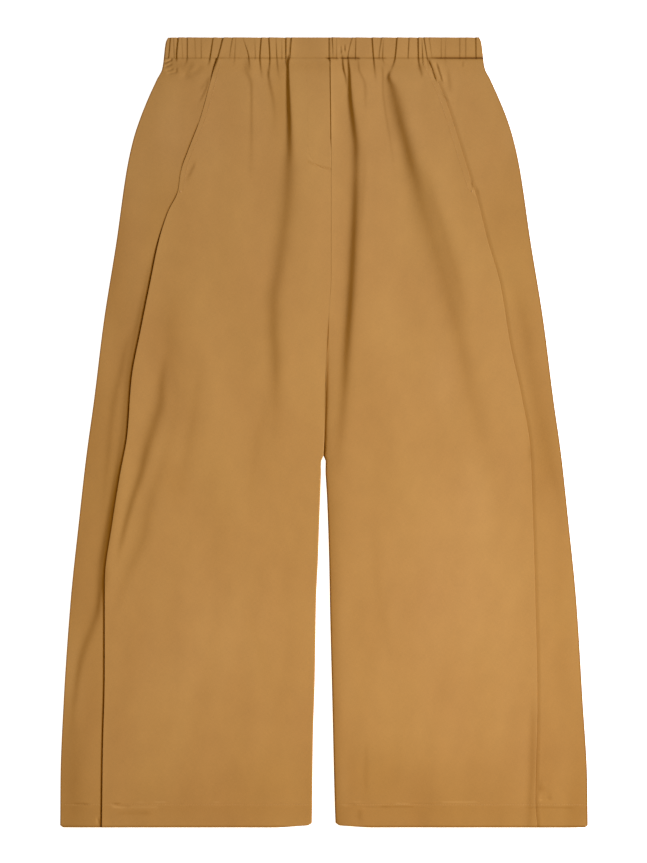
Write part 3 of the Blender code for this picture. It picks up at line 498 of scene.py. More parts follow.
@dataclass(frozen=True)
class Lay:
    """How the trousers lie: every level of the cloth that more than one piece needs.

    A reach is how far something is felt, and a run is the length over which it comes in.
    """

    # The elastic's creases
    gather_width: float = 0.00060
    gather_spread: float = 2.4  # how much wider a crease is at its foot
    gather_rise: float = 0.85  # how much higher the cloth lies beyond a crease, for its depth
    gather_reach: float = 0.0080
    band_calm: float = 0.6  # how much of the slow waves the band smooths out
    band_calm_run: float = 0.012
    # The folded outer sides
    side_bulge: float = 0.0013  # how far the worn legs stand out over their tables
    side_bulge_run: float = 0.020
    side_reach: float = 0.030
    # The side seams
    lap_reach: float = 0.030
    drop_reach: float = 0.014
    lap_drop: float = 0.45  # how far the strip drops beside the proud front, for the lap's height
    groove_width: float = 0.0007  # of a side seam that is open and whose two sides lie flush
    tight_groove: float = 0.00012  # the same where the seam is stitched
    side_dip: float = 0.0003  # how far the strip dips there
    side_dip_width: float = 0.0045
    flush_fold: float = 0.0003  # radius of the folded edge in the pocket's mouth
    stitched_fold: float = 0.00008  # the same where the seam is stitched flush
    proud_fold: float = 0.00045  # the same where the front stands proud
    flush_share: float = 0.8  # how flush the strip lies in the right pocket's mouth
    flush_foot: float = 0.215
    flush_run: float = 0.045
    gape: float = 0.5  # how much of that is lost where the mouth gapes under the band
    gape_foot: float = 0.418
    gape_run: float = 0.012
    # The inner edges and the lap of the legs under the crotch
    roll: float = 0.0013  # how far from the inner edges the front turns down to the back
    roll_top: float = 0.150
    roll_run: float = 0.130
    roll_power: float = 1.5
    rolled_level: float = 0.0016
    laid_over_level: float = 0.0052
    laid_over_run: float = 0.020
    leg_lap: float = 0.0035  # how far the left leg runs on under the right one
    leg_lap_top: float = 0.115
    leg_lap_run: float = 0.050
    slack: float = 0.0016  # how far the left leg sinks before it turns down
    slack_reach: float = 0.009
    tuck: float = 0.0011  # how far the left leg sinks beside the right one that lies on it
    tuck_reach: float = 0.0012
    tuck_top: float = 0.120
    tuck_run: float = 0.080
    tuck_foot_run: float = 0.012
    # The lowest levels that are allowed
    least_front: float = 0.0023
    least_strip: float = 0.0019
    least_band: float = 0.0050
    softness: float = 0.0004
    # The hems
    hem_groove: float = 0.00018
    hem_groove_width: float = 0.0011
    outer_corner_rise: float = 0.0030
    outer_corner_width: float = 0.0050
    inner_corner_rise: float = 0.0034
    inner_corner_width: float = 0.0070
    hem_slope_rise: float = 0.0022
    hem_slope_width: float = 0.045
    # The waist seam, the fly and the centre seam
    seam_pinch: float = 0.0007
    seam_pinch_reach: float = 0.0009
    fly_ease: float = 0.003  # over which the panel sinks under the flap
    fly_foot_width: float = 0.0285  # of the stitching at the fly's foot
    fly_foot_drop: float = 0.0014
    fly_foot_rise: float = 0.0086
    fly_foot_bend: float = 1.6
    slit_lip: float = 0.0005  # how proud the left front is beside the fly's slit
    slit_foot: float = 0.335
    slit_run: float = 0.020
    centre_lip: float = 0.00012  # how proud it is beside the centre seam
    centre_lip_run: float = 0.06
    lip_reach: float = 0.006
    # The back
    back_shift: float = 0.0020  # how far its centre seam lies to the left of the front's
    back_seam_rise: float = 0.00035
    back_seam_width: float = 0.0012
    back_wave: float = 0.6
    back_wave_stretch: float = 0.9

    def side(self, side: Side, y: Array) -> Array:
        """x of the folded outer side."""
        table = SILHOUETTE_RIGHT if side is Side.RIGHT else SILHOUETTE_LEFT
        return Line(table).at(y) + side.value * self.bulge(y, WAIST_SEAM)

    def seam(self, side: Side, y: Array) -> Array:
        """x of the forward side seam."""
        return Line(SIDE_SEAM_RIGHT if side is Side.RIGHT else SIDE_SEAM_LEFT).at(y)

    def bulge(self, y: Array, below: float) -> Array:
        """How far an edge stands out over its table from a height downwards."""
        return self.side_bulge * smooth((below - y) / self.side_bulge_run)

    def centre(self, y: Array) -> Array:
        """x of the centre front seam and of the right leg's inner edge."""
        return Line(CENTRE_LINE).at(y) + self.bulge(y, LEGS_PART)

    def inner(self, side: Side, y: Array, lapped: bool) -> Array:
        """x of a panel's edge on the centre seam and the inseam.

        Args:
            side: The panel's side.
            y: Heights in metres.
            lapped: Whether the edge runs on under the right leg.

        Returns:
            The edge's x at each height.
        """
        centre = self.centre(y)
        if side is Side.RIGHT:
            return centre - SEAM_GAP / 2
        top = smooth((self.leg_lap_top - y) / self.leg_lap_run)
        under = top * smooth((y - LEGS_PART) / self.leg_lap_run)
        joined = centre + SEAM_GAP / 2 - self.leg_lap * under * lapped
        return np.where(y > LEGS_PART, joined, Line(INSEAM_LEFT).at(y) - self.bulge(y, LEGS_PART))

    def back_inner(self, side: Side, y: Array) -> Array:
        """x of a back panel's edge, whose centre seam isn't just under the front's."""
        shift = self.back_shift * smooth((y - LEGS_PART) / self.leg_lap_run)
        return self.inner(side, y, False) + shift

    def lap(self) -> float:
        """Height from the back panel's skin to the front panel's where they lie on each other."""
        return LAYER_GAP + CLOTH

    def gather_line(self, gather: tuple[float, ...]) -> Line:
        """The x and the depth of one of the elastic's creases."""
        top_x, seam_x, foot_x, foot_y, top_depth, depth = gather
        seam = (WAIST_SEAM / MM, seam_x, depth)
        return Line(((WAIST_TOP / MM, top_x, top_depth), seam, (foot_y, foot_x, 0.0)))

    def gathers(self, x: Array, y: Array) -> Array:
        """Height of the creases that the elastic draws into the front.

        The cloth climbs steeply across each crease towards +X and sinks back slowly on both sides.

        Args:
            x: Places in metres.
            y: Heights in metres.

        Returns:
            The height that all of them add.
        """
        total = np.zeros_like(x)
        for gather in FRONT_GATHERS:
            line = self.gather_line(gather)
            offset = x - line.at(y)
            rise = self.gather_rise * np.maximum(line.at(y, 2), 0.0)
            below = smooth((WAIST_SEAM - y) / (WAIST_SEAM - line.foot))
            spread = blend(1.0, self.gather_spread, below)
            step = np.tanh(offset / (self.gather_width * spread))
            total += rise / 2 * step * np.exp(-np.abs(offset) / (self.gather_reach * spread))
        return total

    def waves(self, x: Array, y: Array) -> Array:
        """Slow unevenness of cloth that has been worn and pressed.

        Args:
            x: Places in metres.
            y: Heights in metres.

        Returns:
            The height that all the waves add.
        """
        total = np.zeros_like(x)
        for degrees, length, depth, phase in WAVES:
            turn = math.radians(degrees)
            across = x * math.cos(turn) + y * math.sin(turn)
            along = y * math.cos(turn) - x * math.sin(turn)
            bent = across + WAVE_BEND * np.sin(along / WAVE_BEND_LENGTH + phase)
            swell = np.sin(along / WAVE_SWELL_LENGTH + WAVE_SWELL_PHASE * phase)
            envelope = 1 - WAVE_SWELL + WAVE_SWELL * swell
            total += depth * MM * envelope * np.sin(2 * math.pi * bent / (length * MM) + phase)
        return total

    def relief(self, x: Array, y: Array) -> Array:
        """Shape all folds, creases and waves of the front.

        Args:
            x: Places in metres.
            y: Heights in metres.

        Returns:
            The height that they add together.
        """
        shaped = sum(fold.height(x, y) for fold in FRONT_FOLDS.values())
        wrinkled = sum(wrinkle.height(x, y) for wrinkle in WRINKLES)
        band = smooth((y - WAIST_SEAM + self.band_calm_run) / self.band_calm_run)
        return shaped + wrinkled + self.gathers(x, y) + self.waves(x, y) * (1 - self.band_calm * band)

    def open(self, x: Array, y: Array) -> Array:
        """Outer skin of the front with its folds, before any seam shapes it.

        Args:
            x: Places in metres.
            y: Heights in metres.

        Returns:
            The skin's z.
        """
        middle = Line(LEVELS).at(y, 2)
        from_right = x - self.side(Side.RIGHT, y)
        from_left = self.side(Side.LEFT, y) - x
        base = middle - (middle - self.side_level(Side.RIGHT, y)) * fading(from_right, self.side_reach)
        base -= (middle - self.side_level(Side.LEFT, y)) * fading(from_left, self.side_reach)
        return base + self.relief(x, y)

    def side_level(self, side: Side, y: Array) -> Array:
        """Level of the cloth at a folded outer side."""
        return Line(LEVELS).at(y, 1 if side is Side.RIGHT else 3)

    def at_least(self, z: Array, least: Array | float) -> Array:
        """z, but eased so that it stays over the lowest level that is allowed."""
        return least + self.softness * np.logaddexp(0.0, (z - least) / self.softness)

    def hem(self, y: Array) -> Array:
        """The groove of the hem's stitching."""
        return -self.hem_groove * hump(y - HEM_STITCH, self.hem_groove_width)

    def hem_lift(self, side: Side, x: Array, y: Array) -> Array:
        """Raise the hem's edge towards the corners of the leg.

        Args:
            side: The leg's side.
            x: Places in metres.
            y: Heights in metres.

        Returns:
            How far up the garment each point moves.
        """
        outer = (self.side(side, y) - x) * side.value
        inner = (x - self.inner(side, y, False)) * side.value
        outer_corner = self.outer_corner_rise * np.clip(1 - outer / self.outer_corner_width, 0, 1) ** 2
        inner_corner = self.inner_corner_rise * np.clip(1 - inner / self.inner_corner_width, 0, 1) ** 2
        slope = self.hem_slope_rise * smooth(1 - inner / self.hem_slope_width)
        near_hem = smooth((HEM_STITCH - y) / (HEM_STITCH - HEM_END))
        return (outer_corner + inner_corner + slope) * near_hem

    def hem_turn(self, y: Array) -> Array:
        """How far the folded hem edge has turned down, from its height."""
        return self.fold_over(np.maximum(y - HEM_END, 0.0))

    def seam_pull(self, x: Array, y: Array) -> Array:
        """Find how tightly the waistband's seam draws in the cloth, which also sets the painted shade deep
        in the seam.

        Args:
            x: Places in metres.
            y: Heights in metres.

        Returns:
            A share, which falls to 0 away from the seam.
        """
        places, shares = np.array(SEAM_PULL).T
        near = np.exp(-np.abs(WAIST_SEAM - y) / self.seam_pinch_reach)
        return np.interp(x / MM, places, shares) * near

    def fly_foot(self, x: Array, y: Array) -> Array:
        """y of the curved stitching at the fly's foot."""
        share = np.clip((self.centre(y) - x) / self.fly_foot_width, 0.0, 1.0)
        return FLY_FOOT + self.fly_foot_drop + self.fly_foot_rise * share**self.fly_foot_bend

    def front(self, side: Side, x: Array, y: Array) -> Array:
        """Outer skin of a front panel.

        Args:
            side: The panel's side.
            x: Places in metres.
            y: Heights in metres.

        Returns:
            The skin's z.
        """
        sign = side.value
        from_seam = np.maximum((self.seam(side, y) - x) * sign, 0.0)
        from_edge = np.maximum((x - self.inner(side, y, side is Side.LEFT)) * sign, 0.0)
        z = self.open(x, y) + self.lap() / 2 * fading(from_seam, self.lap_reach)
        below_crotch = smooth((self.roll_top - y) / self.roll_run)
        target = self.rolled_level
        if side is Side.RIGHT:
            apart = smooth((LEGS_PART - y) / self.laid_over_run)
            target = blend(self.laid_over_level, target, apart)
        else:
            z -= self.slack * below_crotch * fading(from_edge, self.slack_reach)
            z -= self.tuck * self.tucked(y) * fading(x - self.centre(y), self.tuck_reach)
        near = below_crotch * (1 - smooth(from_edge / self.roll)) ** self.roll_power
        z = blend(z, target, near)
        z = self.at_least(z, blend(self.least_front, self.rolled_level, near))
        z += self.hem(y) + self.centre_seam(x, y) - self.seam_pinch * self.seam_pull(x, y)
        flush_fold = self.flush_fold if side is Side.RIGHT else self.stitched_fold
        return z - self.fold_over(from_seam, blend(self.proud_fold, flush_fold, self.flush(side, y)))

    def tucked(self, y: Array) -> Array:
        """1 where the right leg lies on the left one, 0 above the lap and below it."""
        foot = smooth((y - LEGS_PART + self.tuck_foot_run) / self.tuck_foot_run)
        return smooth((self.tuck_top - y) / self.tuck_run) * foot

    def centre_seam(self, x: Array, y: Array) -> Array:
        """Raise the left front's lip beside the centre seam and beside the fly's slit.

        Args:
            x: Places in metres.
            y: Heights in metres.

        Returns:
            The height that it adds.
        """
        offset = x - self.centre(y)
        above = smooth((y - CROTCH + self.centre_lip_run) / self.centre_lip_run)
        slit = smooth((y - self.slit_foot) / self.slit_run)
        lip = blend(self.centre_lip * above, self.slit_lip, slit)
        return lip * fading(offset, self.lip_reach) * (offset > 0)

    def fold_over(self, from_edge: Array, radius: Array | float = EDGE_ROUND) -> Array:
        """How far a folded edge has turned down, from the distance to that edge."""
        short = np.clip(1 - from_edge / radius, 0.0, 1.0)
        return radius * (1 - np.sqrt(np.maximum(1 - short**2, 0.0)))

    def flush(self, side: Side, y: Array) -> Array:
        """Find where the strip beside the side seam lies flush with the front.

        Args:
            side: The seam's side.
            y: Heights in metres.

        Returns:
            1 where it lies flush, 0 where it lies lower.
        """
        if side is Side.LEFT:
            return np.ones_like(y)
        pocket = smooth((y - self.flush_foot) / self.flush_run)
        gaping = self.gape * smooth((y - self.gape_foot) / self.gape_run)
        return self.flush_share * pocket * (1 - gaping)

    def strip(self, side: Side, x: Array, y: Array) -> Array:
        """Outer skin of a back panel where it comes forward, beside and under the front panel.

        Args:
            side: The panel's side.
            x: Places in metres.
            y: Heights in metres.

        Returns:
            The skin's z.
        """
        outside = (x - self.seam(side, y)) * side.value
        open_level = self.open(x, y)
        lifted = open_level + self.lap() / 2 * np.exp(-np.abs(outside) / self.lap_reach)
        drop = self.lap() * self.lap_drop * fading(outside, self.drop_reach)
        flush_level = lifted - self.groove(side, outside, y)
        beside = blend(open_level - drop, flush_level, self.flush(side, y))
        z = self.at_least(np.where(outside > 0, beside, lifted - self.lap()), self.least_strip)
        return z + self.hem(y) - self.seam_pinch * self.seam_pull(x, y)

    def seam_line(self, side: Side, y: Array) -> Array:
        """How open the groove beside a front's edge is, and how dark its painted shade is."""
        places, shares = np.array(SEAM_LINE_RIGHT if side is Side.RIGHT else SEAM_LINE_LEFT)[::-1].T
        return np.interp(y / MM, places, shares)

    def groove(self, side: Side, outside: Array, y: Array) -> Array:
        """Sink the strip beside the front's edge where the two lie flush.

        Args:
            side: The seam's side.
            outside: Distances from the seam towards the side.
            y: Heights in metres.

        Returns:
            How much lower than the front the strip lies.
        """
        if side is Side.RIGHT:
            width = self.tight_groove + self.groove_width * self.seam_line(side, y)
            return self.lap() * (1 - smooth(outside / width))
        dip = self.side_dip * (1 - smooth(outside / self.side_dip_width))
        return dip + (self.lap() - self.side_dip) * (1 - smooth(outside / self.tight_groove))

    def fly_share(self, x: Array, y: Array) -> Array:
        """Find where the stitched-down fly flap lies.

        Args:
            x: Places in metres.
            y: Heights in metres.

        Returns:
            1 well inside the flap, falling to 0 at its stitched edge.
        """
        turn = np.clip((y - FLY_FOOT) / FLY_WIDTH, 0.0, 1.0)
        bow = 1 - np.sqrt(np.maximum(1 - (1 - turn) ** 2, 0.0))
        edge = self.centre(y) - FLY_WIDTH * (1 - bow)
        return smooth((x - edge) / self.fly_ease) * smooth((y - FLY_FOOT) / self.fly_ease)

    def back(self, x: Array, y: Array) -> Array:
        """Height of the back's folds over the floor that it lies on.

        Args:
            x: Places in metres.
            y: Heights in metres.

        Returns:
            The skin's z before its edges turn up.
        """
        folds = sum(fold.height(x, y) for fold in BACK_FOLDS)
        seam = self.back_seam_rise * hump(x - self.centre(y), self.back_seam_width) * (y > LEGS_PART)
        waved = np.maximum(self.waves(-x, y * self.back_wave_stretch), 0.0) * self.back_wave
        return np.maximum(folds, 0.0) - self.hem(y) + seam + waved


@dataclass(frozen=True)
class PaintedLightAndGrain:
    """Painted light and shade in the cloth's "tone", with the darker grain of the strips and the darker hem.
    """

    lay: Lay
    hem_shade: float = 0.04  # how much darker the cloth below the hem's stitching is made
    hem_run: float = 0.002
    seam_shade: float = 0.85  # painted shade deep in the waistband's seam
    fly_foot_shade: float = 0.16  # painted shade along the stitches at the fly's foot
    fly_foot_reach: float = 0.0011
    fly_start_run: float = 0.03  # in widths of the flap
    fly_end: float = 1.04
    fly_end_run: float = 0.10
    tuck_shade: float = 0.62  # painted shade on the left leg where it goes under the right one
    tuck_top: float = 0.105
    tuck_run: float = 0.130
    tuck_place: float = 0.0005
    tuck_width: float = 0.0008
    edge_light: float = 0.14  # painted highlight on the right leg's edge there
    edge_place: float = -0.0006
    edge_width: float = 0.0005
    rim_shade: float = 0.38  # painted shade on the folded edges
    lit_rim_shade: float = 0.60  # painted shade on them where they face the light
    rim_reach: float = 0.0012
    line_place: float = 0.0004  # of the painted shade line beside a front's edge
    line_width: float = 0.0009
    grain_shade: float = 0.07  # how much darker the strip looks, which is cut on another grain
    grain_top: float = 0.330
    grain_run: float = 0.100
    streak_end: float = 5.0  # over which a streak fades out, in millimetres

    def tone(self, x: Array, y: Array) -> Array:
        """Add up what is lighter or darker: painted light and shade, and the darker hem.

        Args:
            x: Places in metres.
            y: Heights in metres.

        Returns:
            How light the cloth looks, around 1.
        """
        hem = self.hem_shade * smooth((HEM_STITCH - y) / self.hem_run)
        seam = self.seam_shade * self.lay.seam_pull(x, y)
        # Painted light and shade of the patches, the streaks and the folded edges
        painted_light_and_tone = self.patches(x, y) - self.rim(x, y)
        from_leg = x - self.lay.centre(y)
        # Painted shade where the left leg goes under the right one, and a painted highlight on the right
        # leg's edge
        tucked = smooth((self.tuck_top - y) / self.tuck_run) * (y > LEGS_PART)
        painted_light_and_tone -= self.tuck_shade * tucked * hump(from_leg - self.tuck_place, self.tuck_width)
        painted_light_and_tone += self.edge_light * tucked * hump(from_leg - self.edge_place, self.edge_width)
        return np.maximum(1.0 - hem - seam - self.fly_shade(x, y) + painted_light_and_tone, DARKEST)

    def strip_tone(self, side: Side, x: Array, y: Array) -> Array:
        """Tone a back panel: its darker grain, and the painted shade of the line beside the front's edge.

        Args:
            side: The panel's side.
            x: Places in metres.
            y: Heights in metres.

        Returns:
            How light the cloth looks, around 1.
        """
        strip = self.tone(x, y) - self.grain_shade * smooth((self.grain_top - y) / self.grain_run)
        outside = (x - self.lay.seam(side, y)) * side.value
        line = self.lay.seam_line(side, y) * hump(outside - self.line_place, self.line_width)
        return np.maximum(strip - line, DARKEST)

    def patches(self, x: Array, y: Array) -> Array:
        """Add up the painted light and shade of the soft patches and the streaks.

        Args:
            x: Places in metres.
            y: Heights in metres.

        Returns:
            How much painted light it adds, below 0 where it adds painted shade.
        """
        total = np.zeros_like(x)
        for centre_x, centre_y, width, height, share in PAINTED_LIGHT_PATCHES:
            off = ((x / MM - centre_x) / width) ** 2 + ((y / MM - centre_y) / height) ** 2
            total += share * np.exp(-off)
        for start, end, height, thickness, share in PAINTED_CREASE_STREAKS:
            ends = smooth((x / MM - start) / self.streak_end) * smooth((end - x / MM) / self.streak_end)
            total += share * ends * hump(y / MM - height, thickness)
        return total

    def rim(self, x: Array, y: Array) -> Array:
        """Paint shade on the folded edges, to take away the light that they catch.

        Args:
            x: Places in metres.
            y: Heights in metres.

        Returns:
            How much painted shade it adds.
        """
        lay = self.lay
        apart = np.where(y < LEGS_PART, 0.0, np.inf)
        lit = np.minimum(lay.side(Side.LEFT, y) - x, np.abs(x - lay.inner(Side.RIGHT, y, False)) + apart)
        dim = np.minimum(x - lay.side(Side.RIGHT, y), np.abs(x - lay.inner(Side.LEFT, y, False)) + apart)
        dim = np.minimum(dim, y - HEM_END)
        lit_shade = self.lit_rim_shade * hump(np.maximum(lit, 0.0), self.rim_reach)
        dim_shade = self.rim_shade * hump(np.maximum(dim, 0.0), self.rim_reach)
        return np.maximum(lit_shade, dim_shade)

    def fly_shade(self, x: Array, y: Array) -> Array:
        """Paint shade along the stitches at the fly's foot, where they draw the cloth in.

        Args:
            x: Places in metres.
            y: Heights in metres.

        Returns:
            How much painted shade it adds.
        """
        along = (self.lay.centre(y) - x) / self.lay.fly_foot_width
        start = smooth((along + self.fly_start_run) / self.fly_start_run)
        ends = start * smooth((self.fly_end - along) / self.fly_end_run)
        return self.fly_foot_shade * ends * hump(y - self.lay.fly_foot(x, y), self.fly_foot_reach)


# The back's folds: the first are the elastic's creases, each row (x, lean down the garment, y of the
# foot, depth for the usual one)
BACK_FOLDS = tuple(
    Fold((
        (473.4, x, 0.5 * depth, 1.6, 2.4), (449.6, x + lean, 0.7 * depth, 1.8, 2.6),
        (430, x + 2 * lean, 0.5 * depth, 3.0, 4.0), (foot, x + 5 * lean, 0, 6, 7),
    ))
    for x, lean, foot, depth in (
        (-176, -1, 400, 1.0), (-163, -1, 420, 0.6), (-149, -2, 380, 1.2), (-131, -1, 410, 0.8),
        (-118, -1, 350, 1.1), (-101, 0, 405, 0.6), (-87, -1, 340, 1.2), (-70, 0, 400, 0.9),
        (-52, 0, 330, 1.2), (-38, 0, 410, 0.6), (-21, 0, 370, 1.0), (12, 0, 390, 0.7), (29, 0, 340, 1.2),
        (44, 1, 412, 0.6), (61, 0, 335, 1.1), (79, 1, 395, 0.9), (92, 1, 350, 1.2), (110, 1, 415, 0.6),
        (124, 1, 360, 1.1), (141, 2, 400, 0.8), (155, 1, 375, 1.2), (171, 1, 415, 0.9),
    )
) + (
    Fold(((330, -90, 0, 9, 14), (250, -100, 0.8, 9, 14), (120, -120, 0.6, 10, 16), (20, -150, 0, 12, 18))),
    Fold(((320, 80, 0, 9, 14), (230, 100, 0.8, 9, 14), (90, 130, 0.6, 10, 16), (-20, 170, 0, 12, 18))),
    Fold(((150, -30, 0, 6, 8), (100, -40, 0.7, 6, 9), (20, -70, 0.5, 8, 12), (-60, -110, 0, 10, 14))),
    Fold(((150, 40, 0, 6, 8), (90, 50, 0.7, 6, 9), (10, 80, 0.5, 8, 12), (-70, 120, 0, 10, 14))),
    Fold(((-60, -210, 0, 9, 12), (-160, -200, 0.6, 10, 14), (-300, -190, 0, 12, 16))),
    Fold(((-40, 190, 0, 9, 12), (-150, 200, 0.6, 10, 14), (-310, 210, 0, 12, 16))),
)


# Sockets of the Mix node, which has one of each name for every type of data
MIX_COLOUR_A = 6
MIX_COLOUR_B = 7
MIX_COLOUR_RESULT = 2


class Shader:
    """The node tree of one material, and the one place where its nodes are made."""

    def __init__(self, name: str) -> None:
        """Start an empty material of that name."""
        self.material = bpy.data.materials.new(name)
        self.material.use_nodes = True
        self.tree = self.material.node_tree
        self.tree.nodes.clear()

    def node(self, kind: str, settings: dict | None = None, **inputs: object) -> bpy.types.Node:
        """Add a node.

        Args:
            kind: The node's type, without "ShaderNode".
            settings: Properties that are set before any socket.
            **inputs: A value, a Value or an output socket for each input, named with _ for a space.

        Returns:
            The new node.
        """
        made = self.tree.nodes.new("ShaderNode" + kind)
        for key, setting in (settings or {}).items():
            setattr(made, key, setting)
        for key, given in inputs.items():
            self.feed(made.inputs[key.replace("_", " ")], given)
        return made

    def feed(self, socket: bpy.types.NodeSocket, given: object) -> None:
        """Link or set one input socket.

        Args:
            socket: The input.
            given: A Value or an output socket to link, or else the value to set.
        """
        if isinstance(given, Value):
            given = given.socket
        if isinstance(given, bpy.types.NodeSocket):
            self.tree.links.new(given, socket)
        else:
            socket.default_value = given


class Value:
    """A number in a shader; Python's operators on it add the Math nodes."""

    def __init__(self, shader: Shader, socket: bpy.types.NodeSocket) -> None:
        """Wrap an output socket."""
        self.shader = shader
        self.socket = socket

    def math(self, operation: str, *others: object) -> "Value":
        """Add a Math node.

        Args:
            operation: The node's operation.
            *others: The other operands, numbers or Values.

        Returns:
            The node's output.
        """
        made = self.shader.node("Math", {"operation": operation})
        for socket, operand in zip(made.inputs, (self, *others)):
            self.shader.feed(socket, operand)
        return Value(self.shader, made.outputs[0])

    def __add__(self, other: object) -> "Value":
        """Sum."""
        return self.math("ADD", other)

    def __sub__(self, other: object) -> "Value":
        """Difference."""
        return self.math("SUBTRACT", other)

    def __mul__(self, other: object) -> "Value":
        """Product."""
        return self.math("MULTIPLY", other)

    def __pow__(self, other: object) -> "Value":
        """Power."""
        return self.math("POWER", other)

    def sine(self) -> "Value":
        """Sine."""
        return self.math("SINE")


@dataclass(frozen=True)
class Twill:
    """Cotton twill: a fine diagonal weave with slubs, a soft bloom and a little unevenness of dye.

    Attributes:
        name: The material's name.
        colour: The cloth's base colour.
        roughness: Its mean roughness.
        rough_change: How much the slubs change it.
        sheen: How much bloom its fibres have.
        pitch: Distance between two ribs of the weave.
        rib_height: How far a rib stands up.
        relief: How strongly the weave's relief is lit.
        turn: Angle of the ribs to the warp, in degrees.
        slub_cells: Slubs in a metre, along the thread and across it.
        cloud_cells: The same for the dye's slow unevenness.
        fleck_cells: The same for its flecks.
        slub_shade: How much lighter and darker the slubs look.
        rib_shade: Painted light and shade of the ribs, which follows their relief.
        mottle: How much the dye varies.
        redder: What the colour is multiplied with where the dye is redder.
        greener: The same where it is greener.
        painted_shade_powers: Powers of the "tone" for red, green and blue, which keep its painted shade in
            dark creases warm.
    """

    name: str
    colour: Colour
    roughness: float = 0.84
    rough_change: float = 0.10
    sheen: float = 0.07
    pitch: float = 0.0009
    rib_height: float = 0.00005
    relief: float = 0.55
    turn: float = 63.0
    slub_cells: tuple[float, float] = (260.0, 2600.0)
    cloud_cells: tuple[float, float] = (11.0, 7.0)
    fleck_cells: tuple[float, float] = (60.0, 40.0)
    slub_shade: float = 0.16
    rib_shade: float = 0.012
    mottle: float = 0.08
    redder: Colour = (1.02, 0.985, 0.98)
    greener: Colour = (0.98, 1.015, 1.0)
    painted_shade_powers: Colour = (0.80, 1.11, 2.1)

    def make(self) -> bpy.types.Material:
        """Build the material.

        Returns:
            A material that reads the piece's "weave" UV map, in metres, and its "tone" attribute, which
            carries painted light and shade.
        """
        shader = Shader(self.name)
        cloth = shader.node("UVMap", {"uv_map": "weave"}).outputs[0]
        parts = shader.node("SeparateXYZ", Vector=cloth).outputs
        across, along = Value(shader, parts[0]), Value(shader, parts[1])
        turn = math.radians(self.turn)
        rib_place = across * (math.cos(turn) / self.pitch) + along * (math.sin(turn) / self.pitch)
        ribs = (rib_place * (2 * math.pi)).sine()
        slub = self.noise(shader, cloth, self.slub_cells, 2.0)
        slub_across = self.noise(shader, cloth, self.slub_cells[::-1], 2.0)
        place = shader.node("TexCoord").outputs["Object"]
        cloud = self.noise(shader, place, self.cloud_cells, 3.0)
        fleck = self.noise(shader, place, self.fleck_cells, 2.0)
        # The ribs' share of this is painted light and shade that follows their relief
        thread = (slub + slub_across - 1.0) * self.slub_shade + ribs * self.rib_shade
        dye = (cloud - 0.5) * self.mottle * 2 + (fleck - 0.5) * self.mottle
        base_colour = self.painted_light_and_tone(shader, self.tint(shader, cloud), thread + dye + 1.0)
        rough = (slub - 0.5) * self.rough_change + self.roughness
        bump = shader.node(
            "Bump", None, Height=ribs * 0.5 + (slub + slub_across), Strength=self.relief,
            Distance=self.rib_height,
        )
        surface = shader.node(
            "BsdfPrincipled", None, Base_Color=base_colour, Roughness=rough,
            Normal=bump.outputs[0], Sheen_Weight=self.sheen, Sheen_Roughness=0.55,
            Sheen_Tint=(*self.bloom(), 1.0), Specular_IOR_Level=0.14,
        )
        shader.node("OutputMaterial", None, Surface=surface.outputs[0])
        return shader.material

    def bloom(self) -> Colour:
        """Colour of the fibres' bloom, half way from the cloth to white."""
        return tuple(0.5 + channel / 2 for channel in self.colour)

    def tint(self, shader: Shader, cloud: Value) -> bpy.types.NodeSocket:
        """Dye the cloth a touch redder or greener from place to place.

        Args:
            shader: The material's tree.
            cloud: How green each place is, from 0 to 1.

        Returns:
            The colour.
        """
        made = shader.node("Mix", {"data_type": "RGBA"})
        shader.feed(made.inputs[0], cloud)
        for index, shares in ((MIX_COLOUR_A, self.redder), (MIX_COLOUR_B, self.greener)):
            dyed = [channel * share for channel, share in zip(self.colour, shares)]
            shader.feed(made.inputs[index], (*dyed, 1.0))
        return made.outputs[MIX_COLOUR_RESULT]

    def painted_light_and_tone(self, shader: Shader, dyed: bpy.types.NodeSocket, shade: Value) -> bpy.types.NodeSocket:
        """Darken and lighten the dyed cloth by its weave and by its "tone", which carries painted light and
        shade.

        Args:
            shader: The material's tree.
            dyed: The dyed cloth's colour.
            shade: How light the weave and the dye are, around 1.

        Returns:
            The colour.
        """
        tone = Value(shader, shader.node("Attribute", {"attribute_name": "tone"}).outputs["Fac"])
        powers = {axis: tone**power for axis, power in zip("XYZ", self.painted_shade_powers)}
        woven = shader.node("VectorMath", {"operation": "SCALE"}, Vector=dyed, Scale=shade)
        painted_light_and_tone = shader.node("VectorMath", {"operation": "MULTIPLY"})
        shader.feed(painted_light_and_tone.inputs[0], woven.outputs[0])
        shader.feed(painted_light_and_tone.inputs[1], shader.node("CombineXYZ", None, **powers).outputs[0])
        return painted_light_and_tone.outputs[0]

    def noise(
        self, shader: Shader, cloth: bpy.types.NodeSocket, scale: tuple[float, float], detail: float
    ) -> Value:
        """Smooth noise on the cloth.

        Args:
            shader: The material's tree.
            cloth: The UV map, in metres.
            scale: Cells in a metre, across and along the cloth.
            detail: How many finer layers of noise are added.

        Returns:
            The noise, from 0 to 1.
        """
        stretched = shader.node("Mapping", None, Vector=cloth, Scale=(*scale, 1.0))
        made = shader.node(
            "TexNoise", {"noise_dimensions": "2D"}, Vector=stretched.outputs[0], Scale=1.0,
            Detail=detail, Roughness=0.5,
        )
        return Value(shader, made.outputs[0])


